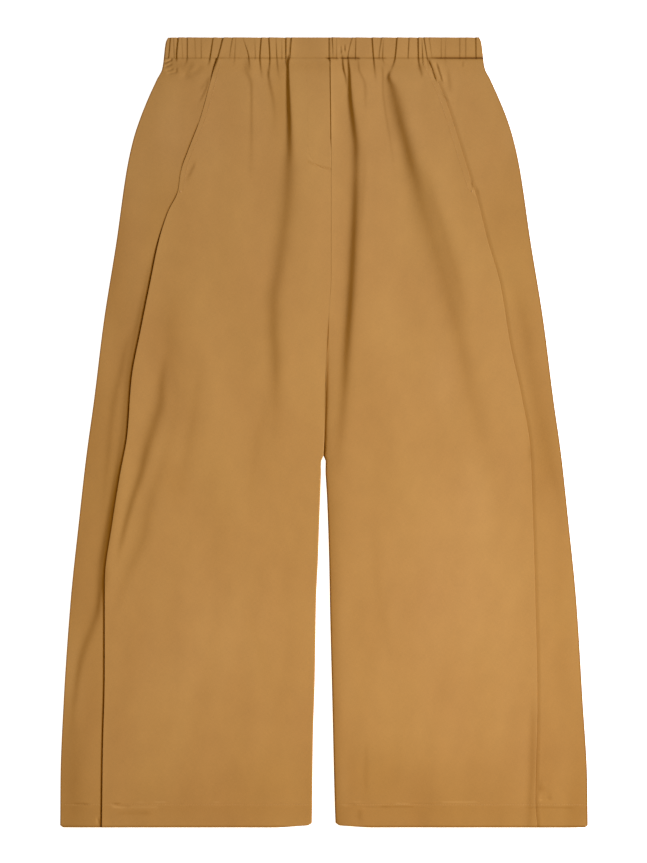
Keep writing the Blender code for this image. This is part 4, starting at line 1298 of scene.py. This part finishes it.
@dataclass(frozen=True)
class Thread:
    """Cotton sewing thread, dyed to match.

    Attributes:
        name: The material's name.
        colour: The thread's colour.
        roughness: Its least roughness.
        twist_pitch: Length of one turn of its twist.
        twist_height: How far a ply stands up.
        twist_shade: Painted light and shade of the plies, which follows their twist.
        speck_cells: Cells in a metre of the noise that changes its roughness.
    """

    name: str = "sewing_thread"
    colour: Colour = (0.50, 0.26, 0.085)
    roughness: float = 0.6
    twist_pitch: float = 0.0005
    twist_height: float = 0.00004
    twist_shade: float = 0.04
    speck_cells: float = 900.0

    def make(self) -> bpy.types.Material:
        """Build the material.

        Returns:
            A material with the thread's twist as a bump on Object coordinates.
        """
        shader = Shader(self.name)
        place = shader.node("TexCoord").outputs["Object"]
        parts = shader.node("SeparateXYZ", Vector=place).outputs
        along = Value(shader, parts[0]) + Value(shader, parts[1])
        ply = (along * (2 * math.pi / self.twist_pitch)).sine()
        speck = shader.node("TexNoise", None, Vector=place, Scale=self.speck_cells, Detail=1.0)
        rough = Value(shader, speck.outputs[0]) * 0.2 + self.roughness
        # Painted light and shade of the plies, following their twist
        shade = ply * self.twist_shade + 1.0
        tinted = shader.node("VectorMath", {"operation": "SCALE"}, Vector=self.colour, Scale=shade)
        bump = shader.node("Bump", None, Height=ply, Strength=0.5, Distance=self.twist_height)
        surface = shader.node(
            "BsdfPrincipled", None, Base_Color=tinted.outputs[0], Roughness=rough,
            Normal=bump.outputs[0], Sheen_Weight=0.1, Specular_IOR_Level=0.3,
        )
        shader.node("OutputMaterial", None, Surface=surface.outputs[0])
        return shader.material


@dataclass(frozen=True)
class Backdrop:
    """Plain pale card under the trousers, lit from below like a light table."""

    name: str = "pale_floor"
    colour: Colour = (0.93, 0.93, 0.93)
    glow: float = 1.0

    def make(self) -> bpy.types.Material:
        """Build the material.

        Returns:
            A plain material that glows.
        """
        shader = Shader(self.name)
        surface = shader.node(
            "BsdfPrincipled", None, Base_Color=(*self.colour, 1.0), Roughness=0.9,
            Specular_IOR_Level=0.1, Emission_Color=(1.0, 1.0, 1.0, 1.0), Emission_Strength=self.glow,
        )
        shader.node("OutputMaterial", None, Surface=surface.outputs[0])
        return shader.material


@dataclass
class ClothPiece:
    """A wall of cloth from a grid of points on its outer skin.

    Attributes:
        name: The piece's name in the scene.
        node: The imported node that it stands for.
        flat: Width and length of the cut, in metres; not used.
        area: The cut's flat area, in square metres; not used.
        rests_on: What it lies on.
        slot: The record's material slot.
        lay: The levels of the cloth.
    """

    name: str
    node: str
    flat: tuple[float, float]
    area: float | None
    rests_on: list[str]
    slot: str = "cotton"
    lay: Lay = field(default_factory=Lay)

    def grid(self) -> Array:
        """Points of the outer skin, with the shape (rows, columns, 3)."""
        raise NotImplementedError

    def tone(self, x: Array, y: Array) -> Array:
        """How light the cloth looks at each point, around 1, with its painted light and shade."""
        return PaintedLightAndGrain(self.lay).tone(x, y)

    def turned(self) -> bool:
        """Whether the grid's faces have to be turned over to face outwards."""
        return False

    def build(self, finish: bpy.types.Material) -> bpy.types.Object:
        """Args:
            finish: The cloth's material.

        Returns:
            The finished object.
        """
        grid = self.grid()
        rows, columns = grid.shape[:2]
        index = np.arange(rows * columns).reshape(rows, columns)
        faces = np.stack([index[:-1, :-1], index[1:, :-1], index[1:, 1:], index[:-1, 1:]], axis=2)
        faces = faces.reshape(-1, 4)
        if self.turned():
            faces = faces[:, ::-1]
        mesh = bpy.data.meshes.new(self.name)
        mesh.from_pydata(grid.reshape(-1, 3).tolist(), [], faces.tolist())
        self.lay_weave(mesh, grid, faces)
        # The "tone" attribute carries painted light and shade, with the darker grain of the strips and the
        # darker hem.
        tone = mesh.attributes.new("tone", "FLOAT", "POINT")
        shades = self.tone(grid[:, :, 0], grid[:, :, 1])
        tone.data.foreach_set("value", shades.reshape(-1).astype(np.float32))
        mesh.shade_smooth()
        piece = bpy.data.objects.new(self.name, mesh)
        bpy.context.scene.collection.objects.link(piece)
        wall = piece.modifiers.new("wall", "SOLIDIFY")
        wall.thickness = CLOTH
        wall.offset = -1.0
        wall.use_quality_normals = True
        apply_modifiers(piece)
        piece.data.set_sharp_from_angle(angle=SHARP_ANGLE)
        piece.data.materials.append(finish)
        self.declare(piece)
        return piece

    def lay_weave(self, mesh: bpy.types.Mesh, grid: Array, faces: Array) -> None:
        """Give the mesh a UV map in metres of cloth, so that its weave follows the surface.

        Args:
            mesh: The piece's mesh.
            grid: The points of its outer skin.
            faces: Indices of the points of each face.
        """
        across = np.zeros(grid.shape[:2])
        across[:, 1:] = np.cumsum(np.linalg.norm(np.diff(grid, axis=1), axis=2), axis=1)
        across += grid[:, :1, 0]
        along = grid[:, :, 1]
        weave = np.stack([across, along], axis=2).reshape(-1, 2)
        layer = mesh.uv_layers.new(name="weave")
        layer.data.foreach_set("uv", weave[faces.reshape(-1)].reshape(-1).astype(np.float32))

    def declare(self, piece: bpy.types.Object) -> None:
        """Attach the piece to the body and hide the imported part that it stands for.

        Args:
            piece: The finished object.
        """
        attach(piece, BODY)
        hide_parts(self.node)
        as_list(self.rests_on)


def apply_modifiers(piece: bpy.types.Object) -> None:
    """Apply every modifier of one object.

    Args:
        piece: The object.
    """
    for other in bpy.context.selected_objects:
        other.select_set(False)
    bpy.context.view_layer.objects.active = piece
    piece.select_set(True)
    for modifier in list(piece.modifiers):
        bpy.ops.object.modifier_apply(modifier=modifier.name)
    piece.select_set(False)


@dataclass
class Panel(ClothPiece):
    """What the front and back panels share: their side, their rows and their hem."""

    side: Side = Side.RIGHT
    hem_turn_rows: int = 4

    def heights(self) -> Array:
        """Space the rows, closer together in the gathers and at the hem.

        Returns:
            Their y, in one column, from the waist seam down.
        """
        stretches = (
            (WAIST_SEAM - SEAM_GAP, 0.4200, 27), (0.4200, 0.3000, 60), (0.3000, 0.1200, 50),
            (0.1200, -0.4380, 98), (-0.4380, -0.4540, 14), (-0.4540, HEM_END + EDGE_ROUND, 7),
        )
        parts = [np.linspace(top, foot, count, endpoint=False) for top, foot, count in stretches]
        turns = np.linspace(0, math.pi / 2, self.hem_turn_rows)
        return np.concatenate([*parts, HEM_END + EDGE_ROUND * (1 - np.sin(turns))])[:, None]

    def raised(self, x: Array, y: Array, z: Array) -> Array:
        """Points of the outer skin, with the hem's corners drawn up."""
        return np.stack([x, y + self.lay.hem_lift(self.side, x, y), z], axis=2)

    def turned(self) -> bool:
        """The columns run the other way on the left side."""
        return self.side is Side.LEFT


@dataclass
class FrontPanel(Panel):
    """A front panel: columns that fan out from the side seam to the centre seam and inseam."""

    columns: int = 166
    seam_steps: tuple[float, ...] = (0.0, 0.0001, 0.0003, 0.0006, 0.0010)
    inner_steps: tuple[float, ...] = (0.0015, 0.0011, 0.0007, 0.0003, 0.0)
    flap_room: float = 0.0001  # between the panel and the fly flap that it is sunk under

    def grid(self) -> Array:
        """Fan out the columns.

        Returns:
            The points of the outer skin.
        """
        heights = self.heights()
        outer = self.lay.seam(self.side, heights)
        inner = self.lay.inner(self.side, heights, self.side is Side.LEFT)
        width = np.abs(outer - inner)
        near_seam = np.array(self.seam_steps)[None] / width
        near_inner = 1 - np.array(self.inner_steps)[None] / width
        share = np.linspace(0.0, 1.0, self.columns)[None, 1:-1]
        spread = blend(near_seam[:, -1:], near_inner[:, :1], share)
        x = blend(outer, inner, np.concatenate([near_seam, spread, near_inner], axis=1))
        y = np.repeat(heights, x.shape[1], axis=1)
        return self.raised(x, y, self.height(x, y))

    def height(self, x: Array, y: Array) -> Array:
        """Shape the panel, which is sunk where the fly flap lies on it.

        Args:
            x: Places in metres.
            y: Heights in metres.

        Returns:
            The outer skin's z.
        """
        z = self.lay.front(self.side, x, y) - self.lay.hem_turn(y)
        if self.side is Side.LEFT:
            return z
        return z - self.lay.fly_share(x, y) * (CLOTH + self.flap_room)


@dataclass
class BackPanel(Panel):
    """A back panel: flat below, round the folded side, and forward to the side seam."""

    below_columns: int = 48
    fold_steps: int = 10
    strip_columns: int = 64
    lap_columns: int = 4
    beside_seam: tuple[float, ...] = (
        0.0045, 0.0030, 0.0018, 0.0011, 0.0007, 0.0004, 0.0002, 0.0001, 0.0, -0.0003, -0.0009,
    )
    lap_width: float = 0.009  # how far it runs on under the front panel
    fold_depth: float = 0.0005  # how far out from the turn the folded side reaches
    side_run: float = 0.012  # over which the back's folds come in from the side
    inner_run: float = 0.020  # the same from the inseam
    parting_run: float = 0.030  # over which the inseams part
    strip_run: float = 0.0016  # over which the strip takes on its own level

    def grid(self) -> Array:
        """Lay the panel round the leg's side.

        Returns:
            The points of the outer skin, from the inner edge below to the lap under the front.
        """
        y = self.heights()
        sign = self.side.value
        outer = self.lay.side(self.side, y)
        turn_x = outer - sign * self.fold_depth
        side_level = self.skin(outer - sign * self.lay.side_level(self.side, y) / 2, y)
        parts = [self.below(turn_x, y), self.folded(turn_x, side_level), self.above(turn_x, side_level, y)]
        x = np.concatenate([part[0] for part in parts], axis=1)
        z = np.concatenate([part[1] for part in parts], axis=1)
        return self.raised(x, np.repeat(y, x.shape[1], axis=1), z)

    def skin(self, x: Array, y: Array) -> Array:
        """Outer skin of the strip, with its hem turned down."""
        return self.lay.strip(self.side, x, y) - self.lay.hem_turn(y)

    def below(self, turn_x: Array, y: Array) -> tuple[Array, Array]:
        """Lay the part that the garment lies on.

        Args:
            turn_x: Where the cloth starts to turn round the side, for each row.
            y: Heights of the rows.

        Returns:
            The x and z of its points.
        """
        sign = self.side.value
        share = np.linspace(0.0, 1.0, self.below_columns + 1)[:-1]
        x = blend(self.lay.back_inner(self.side, y), turn_x, share)
        y = np.repeat(y, x.shape[1], axis=1)
        from_inner = (x - x[:, :1]) * sign
        lift = self.lay.back(x, y) * smooth((turn_x - x) * sign / self.side_run)
        joined = smooth((y - LEGS_PART) / self.parting_run)
        lift = lift * blend(smooth(from_inner / self.inner_run), 1.0, joined)
        return x, lift + self.lay.hem_turn(y)

    def folded(self, turn_x: Array, side_level: Array) -> tuple[Array, Array]:
        """The x and z of the points round the folded side."""
        angles = np.linspace(-math.pi / 2, math.pi / 2, self.fold_steps + 1)
        x = turn_x + self.side.value * self.fold_depth * np.cos(angles)
        return x, side_level / 2 * (1 + np.sin(angles))

    def above(self, turn_x: Array, side_level: Array, y: Array) -> tuple[Array, Array]:
        """Lay the strip that comes forward and its lap under the front panel.

        Args:
            turn_x: Where the cloth has turned round the side, for each row.
            side_level: The skin's z there.
            y: Heights of the rows.

        Returns:
            The x and z of its points.
        """
        sign = self.side.value
        seam = self.lay.seam(self.side, y)
        beside = seam + sign * np.array(self.beside_seam)[None]
        share = np.linspace(0.0, 1.0, self.strip_columns + 1)[1:-1]
        lap_share = np.linspace(0.0, 1.0, self.lap_columns + 1)[None, 1:]
        under = blend(beside[:, -1:], seam - sign * self.lap_width, lap_share)
        x = np.concatenate([blend(turn_x, beside[:, :1], share), beside, under], axis=1)
        own = smooth((turn_x - x) * sign / self.strip_run)
        return x, blend(side_level, self.skin(x, np.repeat(y, x.shape[1], axis=1)), own)

    def tone(self, x: Array, y: Array) -> Array:
        """How light the cloth looks, with the painted shade of the line beside the front's edge."""
        return PaintedLightAndGrain(self.lay).strip_tone(self.side, x, y)


@dataclass
class FlyFlap(ClothPiece):
    """The stitched-down fly flap, flush with the panel that it is sunk into."""

    columns: int = 34
    rows: int = 120
    foot_rows: int = 14
    foot_turn: float = math.radians(84)  # how far the rows follow the curve at its foot
    proud: float = 0.00003  # how far the stitched-down flap stands over the panel
    edge_turn: float = 0.00025  # radius of its free edge

    def grid(self) -> Array:
        """Shape the flap from the waist seam to its curved foot.

        Returns:
            The points of the outer skin.
        """
        lay = self.lay
        straight = np.linspace(WAIST_SEAM - SEAM_GAP, FLY_FOOT + FLY_WIDTH, self.rows, endpoint=False)
        turns = np.linspace(0.0, self.foot_turn, self.foot_rows)
        y = np.concatenate([straight, FLY_FOOT + FLY_WIDTH * (1 - np.sin(turns))])[:, None]
        turn = np.clip((y - FLY_FOOT) / FLY_WIDTH, 0.0, 1.0)
        width = FLY_WIDTH * np.sqrt(np.maximum(1 - (1 - turn) ** 2, 0.0))
        share = np.linspace(0.0, 1.0, self.columns + 1)[None]
        inner = lay.inner(Side.RIGHT, y, False)
        x = blend(inner - width, inner, share)
        y = np.repeat(y, x.shape[1], axis=1)
        z = lay.front(Side.RIGHT, x, y) - lay.fold_over(inner - x, self.edge_turn) + self.proud
        return np.stack([x, y, z], axis=2)


@dataclass
class WaistbandPart(ClothPiece):
    """What both parts of the waistband share: their ends, their rows and their level."""

    right_end: float = -0.0396  # x of the seam between the two parts, on the right
    left_end: float = 0.0060  # the same on the left
    rows: int = 22
    turn_rows: int = 4  # in each rounded edge
    bulge: float = 0.0003
    top_turn: float = 0.0008  # radius of the folded top edge
    seam_turn: float = 0.00015  # radius of the edge in the waist seam
    slot: str = "casing"

    def heights(self) -> tuple[Array, Array]:
        """Space the band's rows from the seam to the top.

        Returns:
            Their y, and how far each has turned in at the band's two edges.
        """
        turns = np.linspace(0.0, math.pi / 2, self.turn_rows + 1)[:-1]
        inward, down = 1 - np.cos(turns), 1 - np.sin(turns)
        low = WAIST_SEAM + SEAM_GAP
        start = low + self.seam_turn * inward
        middle = np.linspace(low + self.seam_turn, WAIST_TOP - self.top_turn, self.rows)
        end = WAIST_TOP - self.top_turn * inward
        y = np.concatenate([start, middle, end[::-1]])
        drop = np.concatenate([self.seam_turn * down, np.zeros(self.rows), self.top_turn * down[::-1]])
        return y[:, None], drop[:, None]

    def level(self, x: Array, y: Array, drop: Array) -> Array:
        """Shape the front of the band.

        Args:
            x: Places in metres.
            y: Heights in metres.
            drop: How far each row has turned in.

        Returns:
            The outer skin's z.
        """
        share = (y - WAIST_SEAM) / (WAIST_TOP - WAIST_SEAM)
        z = self.lay.open(x, y) + self.bulge * 4 * share * (1 - share)
        return self.lay.at_least(z, self.lay.least_band) - drop


@dataclass
class PlainWaistband(WaistbandPart):
    """The plain piece in the middle of the front waistband."""

    columns: int = 110

    def grid(self) -> Array:
        """Lay the piece between its two ends.

        Returns:
            The points of the outer skin.
        """
        y, drop = self.heights()
        x = np.linspace(self.right_end, self.left_end, self.columns + 1)[None]
        x = np.repeat(x, len(y), axis=0)
        y = np.repeat(y, x.shape[1], axis=1)
        return np.stack([x, y, self.level(x, y, drop)], axis=2)

    def turned(self) -> bool:
        """Its rows run up the garment."""
        return True


@dataclass
class ElasticWaistband(WaistbandPart):
    """The gathered band: over the right front, round the back, and over the left front."""

    front_step: float = 0.0011  # the widest gap between two columns on the front
    beside_gather: tuple[float, ...] = (
        -0.0012, -0.0008, -0.0005, -0.0003, 0.0, 0.0003, 0.0005, 0.0008, 0.0012,
    )
    clearance: float = 1.1  # room on each side of a crease, for the width of its own columns
    tight_share: float = 0.35  # the share of a gap that those columns keep to where creases are close
    tight_span: float = 0.3  # the share of such a gap that lies between them
    back_columns: int = 250
    fold_steps: int = 8
    fold_depth: float = 0.0008  # how far out from the turn the folded side reaches
    notch: float = 0.55  # how far the band's top is drawn, for the height that a crease adds
    notch_foot: float = 0.468
    notch_run: float = 0.005
    under_run: float = 0.006  # over which the back's gathers come in from the sides

    def grid(self) -> Array:
        """Lay the band from the plain piece round the whole waist and back to it.

        Returns:
            The points of the outer skin.
        """
        y, drop = self.heights()
        parts = [
            self.front(Side.RIGHT, self.right_end - SEAM_GAP, y, drop),
            self.under(y, drop),
            [part[:, ::-1] for part in self.front(Side.LEFT, self.left_end + SEAM_GAP, y, drop)],
        ]
        x = np.concatenate([part[0] for part in parts], axis=1)
        z = np.concatenate([part[1] for part in parts], axis=1)
        y = np.repeat(y, x.shape[1], axis=1)
        drawn = self.lay.gathers(x, y) * self.notch * smooth((y - self.notch_foot) / self.notch_run)
        return np.stack([x, y + drawn, z], axis=2)

    def turn(self, side: Side, y: Array) -> tuple[Array, Array]:
        """Find where the band starts to turn round a side.

        Args:
            side: The side.
            y: Heights of the rows.

        Returns:
            The x for each row, and the radius of the turn.
        """
        edge = self.lay.side(side, y)
        radius = self.level(edge, y, np.zeros_like(y)) / 2
        return edge - side.value * self.fold_depth, radius

    def columns(self, side: Side, end: float, turn_x: Array, y: Array) -> Array:
        """x of the front's columns, which follow the creases so that each keeps its form.

        Args:
            side: The side that is gathered.
            end: x of the band's end beside the plain piece.
            turn_x: Where the band starts to turn round the side, for each row.
            y: Heights of the rows.

        Returns:
            The x, with the shape (rows, columns), from the end outwards.
        """
        sign = side.value
        lines = [self.lay.gather_line(gather).at(y) for gather in FRONT_GATHERS]
        clear = max(self.beside_gather) * self.clearance
        lines = [line for line in lines if np.all((line - end) * sign > clear)]
        lines = [line for line in lines if np.all((turn_x - line) * sign > clear)]
        lines.sort(key=lambda line: float(line.mean()) * sign)
        stops = [np.full_like(turn_x, end), *lines, turn_x]
        parts = []
        for index, (start, stop) in enumerate(zip(stops[:-1], stops[1:])):
            gap = (stop - start) * sign
            first = 0.0 if index == 0 else clear
            last = 0.0 if index == len(lines) else clear
            room = gap - first - last
            count = max(int(float(room.max()) / self.front_step), 1)
            share = np.linspace(0.0, 1.0, count + 1)[None, :-1]
            tight = gap * (self.tight_share + self.tight_span * share)
            parts.append(start + sign * np.where(room > 0, first + room * share, tight))
            if index < len(lines):
                inset = np.minimum(gap, (stops[index + 2] - stop) * sign)
                squeeze = np.minimum(1.0, self.tight_share * inset / clear)
                parts.append(stop + sign * np.array(self.beside_gather)[None] * squeeze)
        return np.concatenate(parts, axis=1)

    def front(self, side: Side, end: float, y: Array, drop: Array) -> list[Array]:
        """Lay the band from one front end outwards and round the side.

        Args:
            side: The side.
            end: x of the front end.
            y: Heights of the rows.
            drop: How far each row has turned in.

        Returns:
            The x and z of its points.
        """
        turn_x, radius = self.turn(side, y)
        x = self.columns(side, end, turn_x, y)
        z = self.level(x, np.repeat(y, x.shape[1], axis=1), drop)
        angles = np.linspace(math.pi / 2, -math.pi / 2, self.fold_steps + 1)[None]
        tight = radius - drop / 2
        round_x = turn_x + side.value * self.fold_depth * tight / radius * np.cos(angles)
        round_z = radius + tight * np.sin(angles)
        return [np.concatenate([x, round_x], axis=1), np.concatenate([z, round_z], axis=1)]

    def under(self, y: Array, drop: Array) -> list[Array]:
        """Lay the band under the garment, from the right side to the left one.

        Args:
            y: Heights of the rows.
            drop: How far each row has turned in.

        Returns:
            The x and z of its points.
        """
        start, end = self.turn(Side.RIGHT, y)[0], self.turn(Side.LEFT, y)[0]
        share = np.linspace(0.0, 1.0, self.back_columns + 1)[None, 1:-1]
        x = blend(start, end, share)
        lift = self.lay.back(x, np.repeat(y, x.shape[1], axis=1))
        ends = smooth((x - start) / self.under_run) * smooth((end - x) / self.under_run)
        return [x, lift * ends + drop / 2]


@dataclass
class Sewing:
    """Rows of stitches along a path on the cloth, joined in one mesh.

    Attributes:
        name: The piece's name in the scene.
        side: The side that it is on.
        lay: The levels of the cloth.
        length: Length of a stitch.
        pitch: Distance from one stitch to the next.
        radius: Radius of the thread.
        sides: Sides of the thread's section.
        sunk: How deep the thread's centre lies under the skin.
        dive: How deep its tips go, in radii.
        taper: How long its tips are, in radii.
    """

    name: str
    side: Side = Side.RIGHT
    lay: Lay = field(default_factory=Lay)
    length: float = 0.0023
    pitch: float = 0.0031
    radius: float = 0.00020
    sides: int = 5
    sunk: float = 0.00003
    dive: float = 1.6
    taper: float = 2.2

    def rows(self) -> SewnRows:
        """The rows to sew, each its (n, 2) path, the surface's z, and 1 above or -1 below it."""
        raise NotImplementedError

    def stitch(self, start: Array, end: Array, up: float) -> Array:
        """Shape one stitch: a tip, two rings and a tip.

        Args:
            start: Where the thread comes up.
            end: Where it goes down again.
            up: 1 above the cloth or -1 below it.

        Returns:
            Its points.
        """
        run = end - start
        run /= np.linalg.norm(run)
        side = np.cross(run, (0.0, 0.0, up))
        side /= np.linalg.norm(side)
        top = np.cross(side, run)
        angles = np.arange(self.sides) * 2 * math.pi / self.sides
        ring = (np.outer(np.cos(angles), side) + np.outer(np.sin(angles), top)) * self.radius
        dive = -top * self.radius * self.dive
        inset = run * self.radius * self.taper
        return np.concatenate([[start + dive], start + inset + ring, end - inset + ring, [end + dive]])

    def faces(self) -> list[tuple[int, ...]]:
        """Join the points of one stitch.

        Returns:
            Its faces, by the indices of its points.
        """
        n = self.sides
        around = [(k, (k + 1) % n) for k in range(n)]
        tips = [(0, 1 + b, 1 + a) for a, b in around]
        walls = [(1 + a, 1 + b, 1 + n + b, 1 + n + a) for a, b in around]
        ends = [(1 + n + a, 1 + n + b, 2 * n + 1) for a, b in around]
        return tips + walls + ends

    def build(self, finish: bpy.types.Material) -> bpy.types.Object:
        """Make all the stitches.

        Args:
            finish: The thread's material.

        Returns:
            The finished object.
        """
        points: list[Array] = []
        faces: list[tuple[int, ...]] = []
        for path, surface, up in self.rows():
            for start, end in self.places(path, surface, up):
                base = len(points) * (2 * self.sides + 2)
                points.append(self.stitch(start, end, up))
                faces += [tuple(base + index for index in face) for face in self.faces()]
        mesh = bpy.data.meshes.new(self.name)
        mesh.from_pydata(np.concatenate(points).tolist(), [], faces)
        mesh.shade_smooth()
        mesh.materials.append(finish)
        piece = bpy.data.objects.new(self.name, mesh)
        bpy.context.scene.collection.objects.link(piece)
        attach(piece, BODY)
        return piece

    def places(self, path: Array, surface: Callable, up: float) -> list[tuple[Array, Array]]:
        """Space the stitches along a path.

        Args:
            path: Points of the path, with the shape (n, 2).
            surface: z of the cloth that is sewn.
            up: 1 above the cloth or -1 below it.

        Returns:
            Start and end of each stitch.
        """
        steps = np.linalg.norm(np.diff(path, axis=0), axis=1)
        travelled = np.concatenate([[0.0], np.cumsum(steps)])
        starts = np.arange(self.pitch / 2, travelled[-1] - self.length, self.pitch)
        found = []
        for start in starts:
            span = np.array([start, start + self.length])
            x = np.interp(span, travelled, path[:, 0])
            y = np.interp(span, travelled, path[:, 1])
            z = surface(x, y) - up * self.sunk
            found.append(tuple(np.stack([x, y, z], axis=1)))
        return found

    def front(self, x: Array, y: Array) -> Array:
        """Skin of the front panel."""
        return self.lay.front(self.side, x, y)


@dataclass
class HemSewing(Sewing):
    """The hem's row of stitches, round one leg."""

    from_inseam: float = 0.003
    from_seam: float = 0.001
    from_side: float = 0.003
    under_from_side: float = 0.004
    under_room: float = 0.00005  # keeps the thread off the floor

    def rows(self) -> SewnRows:
        """Sew across the front, over the strip, and under the back.

        Returns:
            The three rows.
        """
        lay, side, sign = self.lay, self.side, self.side.value
        y = np.array([HEM_STITCH])
        seam, edge = float(lay.seam(side, y)[0]), float(lay.side(side, y)[0])
        start = float(lay.inner(side, y, False)[0]) + sign * self.from_inseam
        front_path = self.level_path(start, seam - sign * self.from_seam)
        strip_path = self.level_path(seam + sign * self.from_seam, edge - sign * self.from_side)
        under_path = self.level_path(start, edge - sign * self.under_from_side)
        return [(front_path, self.front, 1.0), (strip_path, self.strip, 1.0), (under_path, self.under, -1.0)]

    def level_path(self, start: float, end: float) -> Array:
        """A straight path along the hem."""
        return np.array([(start, HEM_STITCH), (end, HEM_STITCH)])

    def strip(self, x: Array, y: Array) -> Array:
        """Skin of the strip."""
        return self.lay.strip(self.side, x, y)

    def under(self, x: Array, y: Array) -> Array:
        """Skin of the back, a little over the floor."""
        return self.lay.back(x, y) + self.under_room


@dataclass
class PocketSewing(Sewing):
    """A pocket mouth's row of stitches and the bar tack at its foot."""

    from_waist: float = 0.003
    inset: float = 0.0065
    foot: float = 0.2900
    tack_width: float = 0.0055
    tack_inset: float = 0.0004
    tack_foot: float = 0.0022  # how far under the mouth's foot the bar tack starts
    tack_step: float = 0.0004
    tack_rows: int = 5

    def rows(self) -> SewnRows:
        """Sew along the mouth, then back and forth over the bar tack.

        Returns:
            The mouth's row and the tack's rows.
        """
        lay, side, sign = self.lay, self.side, self.side.value
        y = np.linspace(WAIST_SEAM - self.from_waist, self.foot, 60)
        mouth = np.stack([lay.seam(side, y) - sign * self.inset, y], axis=1)
        tack_x = float(lay.seam(side, np.array([self.foot]))[0])
        ends = (tack_x - sign * self.tack_inset, tack_x - sign * self.tack_width)
        heights = [self.foot - self.tack_foot + step * self.tack_step for step in range(self.tack_rows)]
        bars = [(np.array([(end, height) for end in ends]), self.front, 1.0) for height in heights]
        return [(mouth, self.front, 1.0), *bars]


@dataclass
class FlySewing(Sewing):
    """The curved row of stitches at the fly's foot."""

    last: float = 0.02  # where it ends before the centre seam, in widths of the flap

    def rows(self) -> SewnRows:
        """Sew from the flap's side round to the centre seam.

        Returns:
            The one row.
        """
        centre = float(self.lay.centre(np.array([FLY_FOOT]))[0])
        x = centre - self.lay.fly_foot_width * np.linspace(1.0, self.last, 24)
        y = self.lay.fly_foot(x, np.full_like(x, FLY_FOOT))
        return [(np.stack([x, y], axis=1), self.front, 1.0)]


@dataclass(frozen=True)
class Studio:
    """The floor, the light and the camera straight above the trousers."""

    distance: float = 3.0
    frame_height: float = 1.0356  # what the photograph covers on the floor
    centre: tuple[float, float] = (-0.0006, 0.0012)
    sensor: float = 24.0
    floor_size: float = 40.0
    floor_drop: float = 0.0003
    key_power: float = 587.0
    key_place: Point = (4.5, 0.2, 1.53)
    key_size: float = 0.8
    key_colour: Colour = (0.663, 0.765, 1.0)
    fill_power: float = 7.3
    fill_place: Point = (0.26, -0.39, 1.23)
    fill_size: float = 0.5
    ambient: float = 0.149
    shade_colour: Colour = (1.0, 0.735, 0.212)  # light that the cloth sends back

    def build(self) -> None:
        """Set up everything that isn't the trousers."""
        self.floor()
        self.lamp("key", self.key_power, self.key_place, self.key_size, self.key_colour)
        self.lamp("fill", self.fill_power, self.fill_place, self.fill_size, self.shade_colour)
        self.air()
        self.camera()

    def floor(self) -> None:
        """A plain pale floor just under the cloth."""
        bpy.ops.mesh.primitive_plane_add(size=self.floor_size, location=(0, 0, -self.floor_drop))
        floor = bpy.context.active_object
        floor.name = "floor"
        floor.data.materials.append(Backdrop().make())

    def lamp(self, name: str, power: float, place: Point, size: float, colour: Colour) -> None:
        """Hang a square soft light that faces the trousers' middle.

        Args:
            name: The lamp's name.
            power: Its power in watts.
            place: Where it stands.
            size: Length of its side.
            colour: Its colour.
        """
        light = bpy.data.lights.new(name, "AREA")
        light.energy = power
        light.size = size
        light.color = colour
        lamp = bpy.data.objects.new(name, light)
        lamp.location = place
        lamp.rotation_euler = Vector(place).to_track_quat("Z", "Y").to_euler()
        bpy.context.scene.collection.objects.link(lamp)

    def air(self) -> None:
        """Even light from all round, in the tone that the cloth gives it."""
        world = bpy.data.worlds.new("studio_air")
        world.use_nodes = True
        background = world.node_tree.nodes["Background"]
        background.inputs["Color"].default_value = (*self.shade_colour, 1.0)
        background.inputs["Strength"].default_value = self.ambient
        bpy.context.scene.world = world

    def camera(self) -> None:
        """A camera that sees the photograph's frame."""
        lens = bpy.data.cameras.new("camera")
        lens.sensor_fit = "VERTICAL"
        lens.sensor_height = self.sensor
        lens.lens = self.sensor * self.distance / self.frame_height
        camera = bpy.data.objects.new("camera", lens)
        camera.location = (*self.centre, self.distance)
        bpy.context.scene.collection.objects.link(camera)
        bpy.context.scene.camera = camera
        bpy.context.scene.view_settings.view_transform = "Standard"


def pieces() -> list[ClothPiece]:
    """The seven pieces of cloth, as they are cut."""
    return [
        BackPanel("right_back", "back_right", (0.40, 0.93), 0.285, [], side=Side.RIGHT),
        BackPanel("left_back", "back_left", (0.40, 0.93), 0.285, [], side=Side.LEFT),
        FrontPanel("right_front", "front_right", (0.27, 0.93), 0.190, ["right_back"], side=Side.RIGHT),
        FrontPanel("left_front", "front_left", (0.27, 0.93), 0.190, ["left_back"], side=Side.LEFT),
        FlyFlap("fly_flap", "fly", (0.0285, 0.135), None, ["right_front"]),
        PlainWaistband("plain_waistband", "waistband_front", (0.046, 0.027), None, ["right_back"]),
        ElasticWaistband("elastic_waistband", "waistband_elastic", (0.75, 0.027), None, []),
    ]


def sewing() -> list[Sewing]:
    """The rows of stitches."""
    return [
        HemSewing("right_hem_stitches", Side.RIGHT),
        HemSewing("left_hem_stitches", Side.LEFT),
        PocketSewing("right_pocket_stitches", Side.RIGHT),
        PocketSewing("left_pocket_stitches", Side.LEFT),
        FlySewing("fly_stitches"),
    ]


def main() -> None:
    """Build every piece in order and report it."""
    logging.basicConfig(level=logging.INFO, format="%(message)s")
    log = logging.getLogger("trousers")
    twill = Twill("cotton_twill", (0.442, 0.231, 0.0685)).make()
    casing = Twill("casing_twill", (0.434, 0.225, 0.0655)).make()
    thread = Thread().make()
    made = [piece.build(casing if piece.slot == "casing" else twill) for piece in pieces()]
    made += [row.build(thread) for row in sewing()]
    for piece in made:
        log.info("%s: %d faces", piece.name, len(piece.data.polygons))
    Studio().build()


if __name__ == "__main__":
    main()
